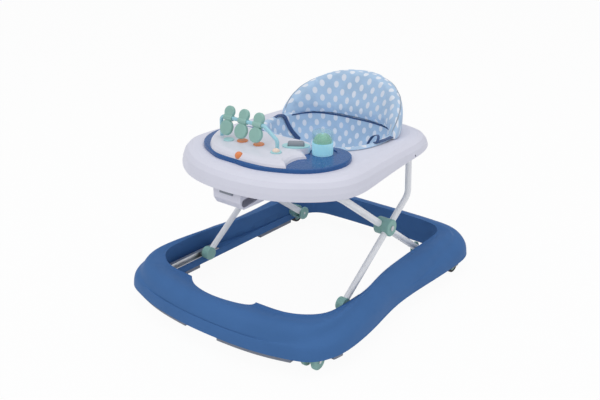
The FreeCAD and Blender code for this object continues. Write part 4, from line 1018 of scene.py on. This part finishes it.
strap(
    "seat_strap_tail",
    ((-EDGE + 0.0125, MIDDLE_Y - 0.008, deck - 0.052), (-EDGE + 0.0155, MIDDLE_Y + 0.012, deck - 0.058),
     (-EDGE + 0.021, MIDDLE_Y + 0.034, deck - 0.063)),
    ((0, 0.3, 1), (0, 0.3, 1), (0, 0.3, 1)), 0.008)
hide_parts("seat_straps")

# %% [markdown]
# ## Floor and light
# The floor is plain and pale. To the camera it shows as its own white, so the object stands on a clean
# ground, and a small share of true paper is mixed in, so it still takes a soft shadow. Three large soft
# lamps do the work of a studio: a key above and to the left, a broad fill from the right, and a top light
# that opens the inside of the ring.

# %% Floor
FLOOR_WIDE = 30
OWN_WHITE = 0.95
ground = Finish("studio_floor")
rays = ground.node("ShaderNodeLightPath")
paper = ground.node("ShaderNodeBsdfDiffuse", None, {"Color": (0.86, 0.86, 0.86, 1)}).out()
glow = ground.node("ShaderNodeEmission", None, {"Color": (1, 1, 1, 1), "Strength": 1.0}).out()
direct = rays.out("Is Camera Ray").maths("MAXIMUM", rays.out("Is Glossy Ray"))
direct = direct.maths("MAXIMUM", rays.out("Is Transmission Ray"))
surface = ground.node("ShaderNodeMixShader", None, {0: direct * OWN_WHITE, 1: paper, 2: glow}).out()
ground.node("ShaderNodeOutputMaterial", None, {"Surface": surface})
bpy.ops.mesh.primitive_grid_add(x_subdivisions=8, y_subdivisions=8, size=FLOOR_WIDE, location=(0, 0, 0))
floor = bpy.context.object
floor.name = "studio_floor"
floor.data.materials.append(ground.material)
print("floor", FLOOR_WIDE, "m wide")

# %% [markdown]
# The air round the object does two jobs. It lights the shadows a little, faintly blue as daylight is, and
# behind the object it shows as plain white. The Light Path node tells the two apart, so neither has to give
# way.

# %% World
world = bpy.data.worlds.new("studio")
bpy.context.scene.world = world
world.use_nodes = True
tree = world.node_tree
tree.nodes.clear()
choice = tree.nodes.new("ShaderNodeMixShader")
for slot, (color, strength) in enumerate((((0.95, 0.97, 1.0, 1), 0.6), ((1, 1, 1, 1), 1.0))):
    background = tree.nodes.new("ShaderNodeBackground")
    background.inputs["Color"].default_value = color
    background.inputs["Strength"].default_value = strength
    tree.links.new(background.outputs[0], choice.inputs[slot + 1])
path_kind = tree.nodes.new("ShaderNodeLightPath")
tree.links.new(path_kind.outputs["Is Camera Ray"], choice.inputs[0])
output = tree.nodes.new("ShaderNodeOutputWorld")
tree.links.new(choice.outputs[0], output.inputs["Surface"])
print("world nodes", len(tree.nodes))

# %% [markdown]
# Each lamp is a wide disk, because a small one would throw a hard shadow and a hard glint. They are kept
# low in power: pale mouldings that clip to white lose their shape.


# %% Lamps
LAMPS_AIM = Vector((0, 0, 0.2))


def soft_lamp(name, place, wide, watts):
    """Disk lamp at a place, turned to the middle of the object."""
    lamp = bpy.data.lights.new(name, "AREA")
    lamp.shape, lamp.size, lamp.energy = "DISK", wide, watts
    holder = bpy.data.objects.new(name, lamp)
    holder.location = place
    holder.rotation_mode = "QUATERNION"
    holder.rotation_quaternion = (LAMPS_AIM - Vector(place)).to_track_quat("-Z", "Y")
    bpy.context.scene.collection.objects.link(holder)


soft_lamp("key", (-0.6, -2.4, 2.6), wide=2.4, watts=18)
soft_lamp("fill", (3.0, -0.6, 1.8), wide=2.6, watts=8)
soft_lamp("top", (0.2, 0.4, 3.2), wide=2.6, watts=20)
print("lamps", len(bpy.data.lights))

# %% [markdown]
# ## Last look
# The view is plain and unfiltered, so that a colour on the screen is the colour that was written.

# %% Colour management
bpy.context.scene.view_settings.view_transform = "Standard"
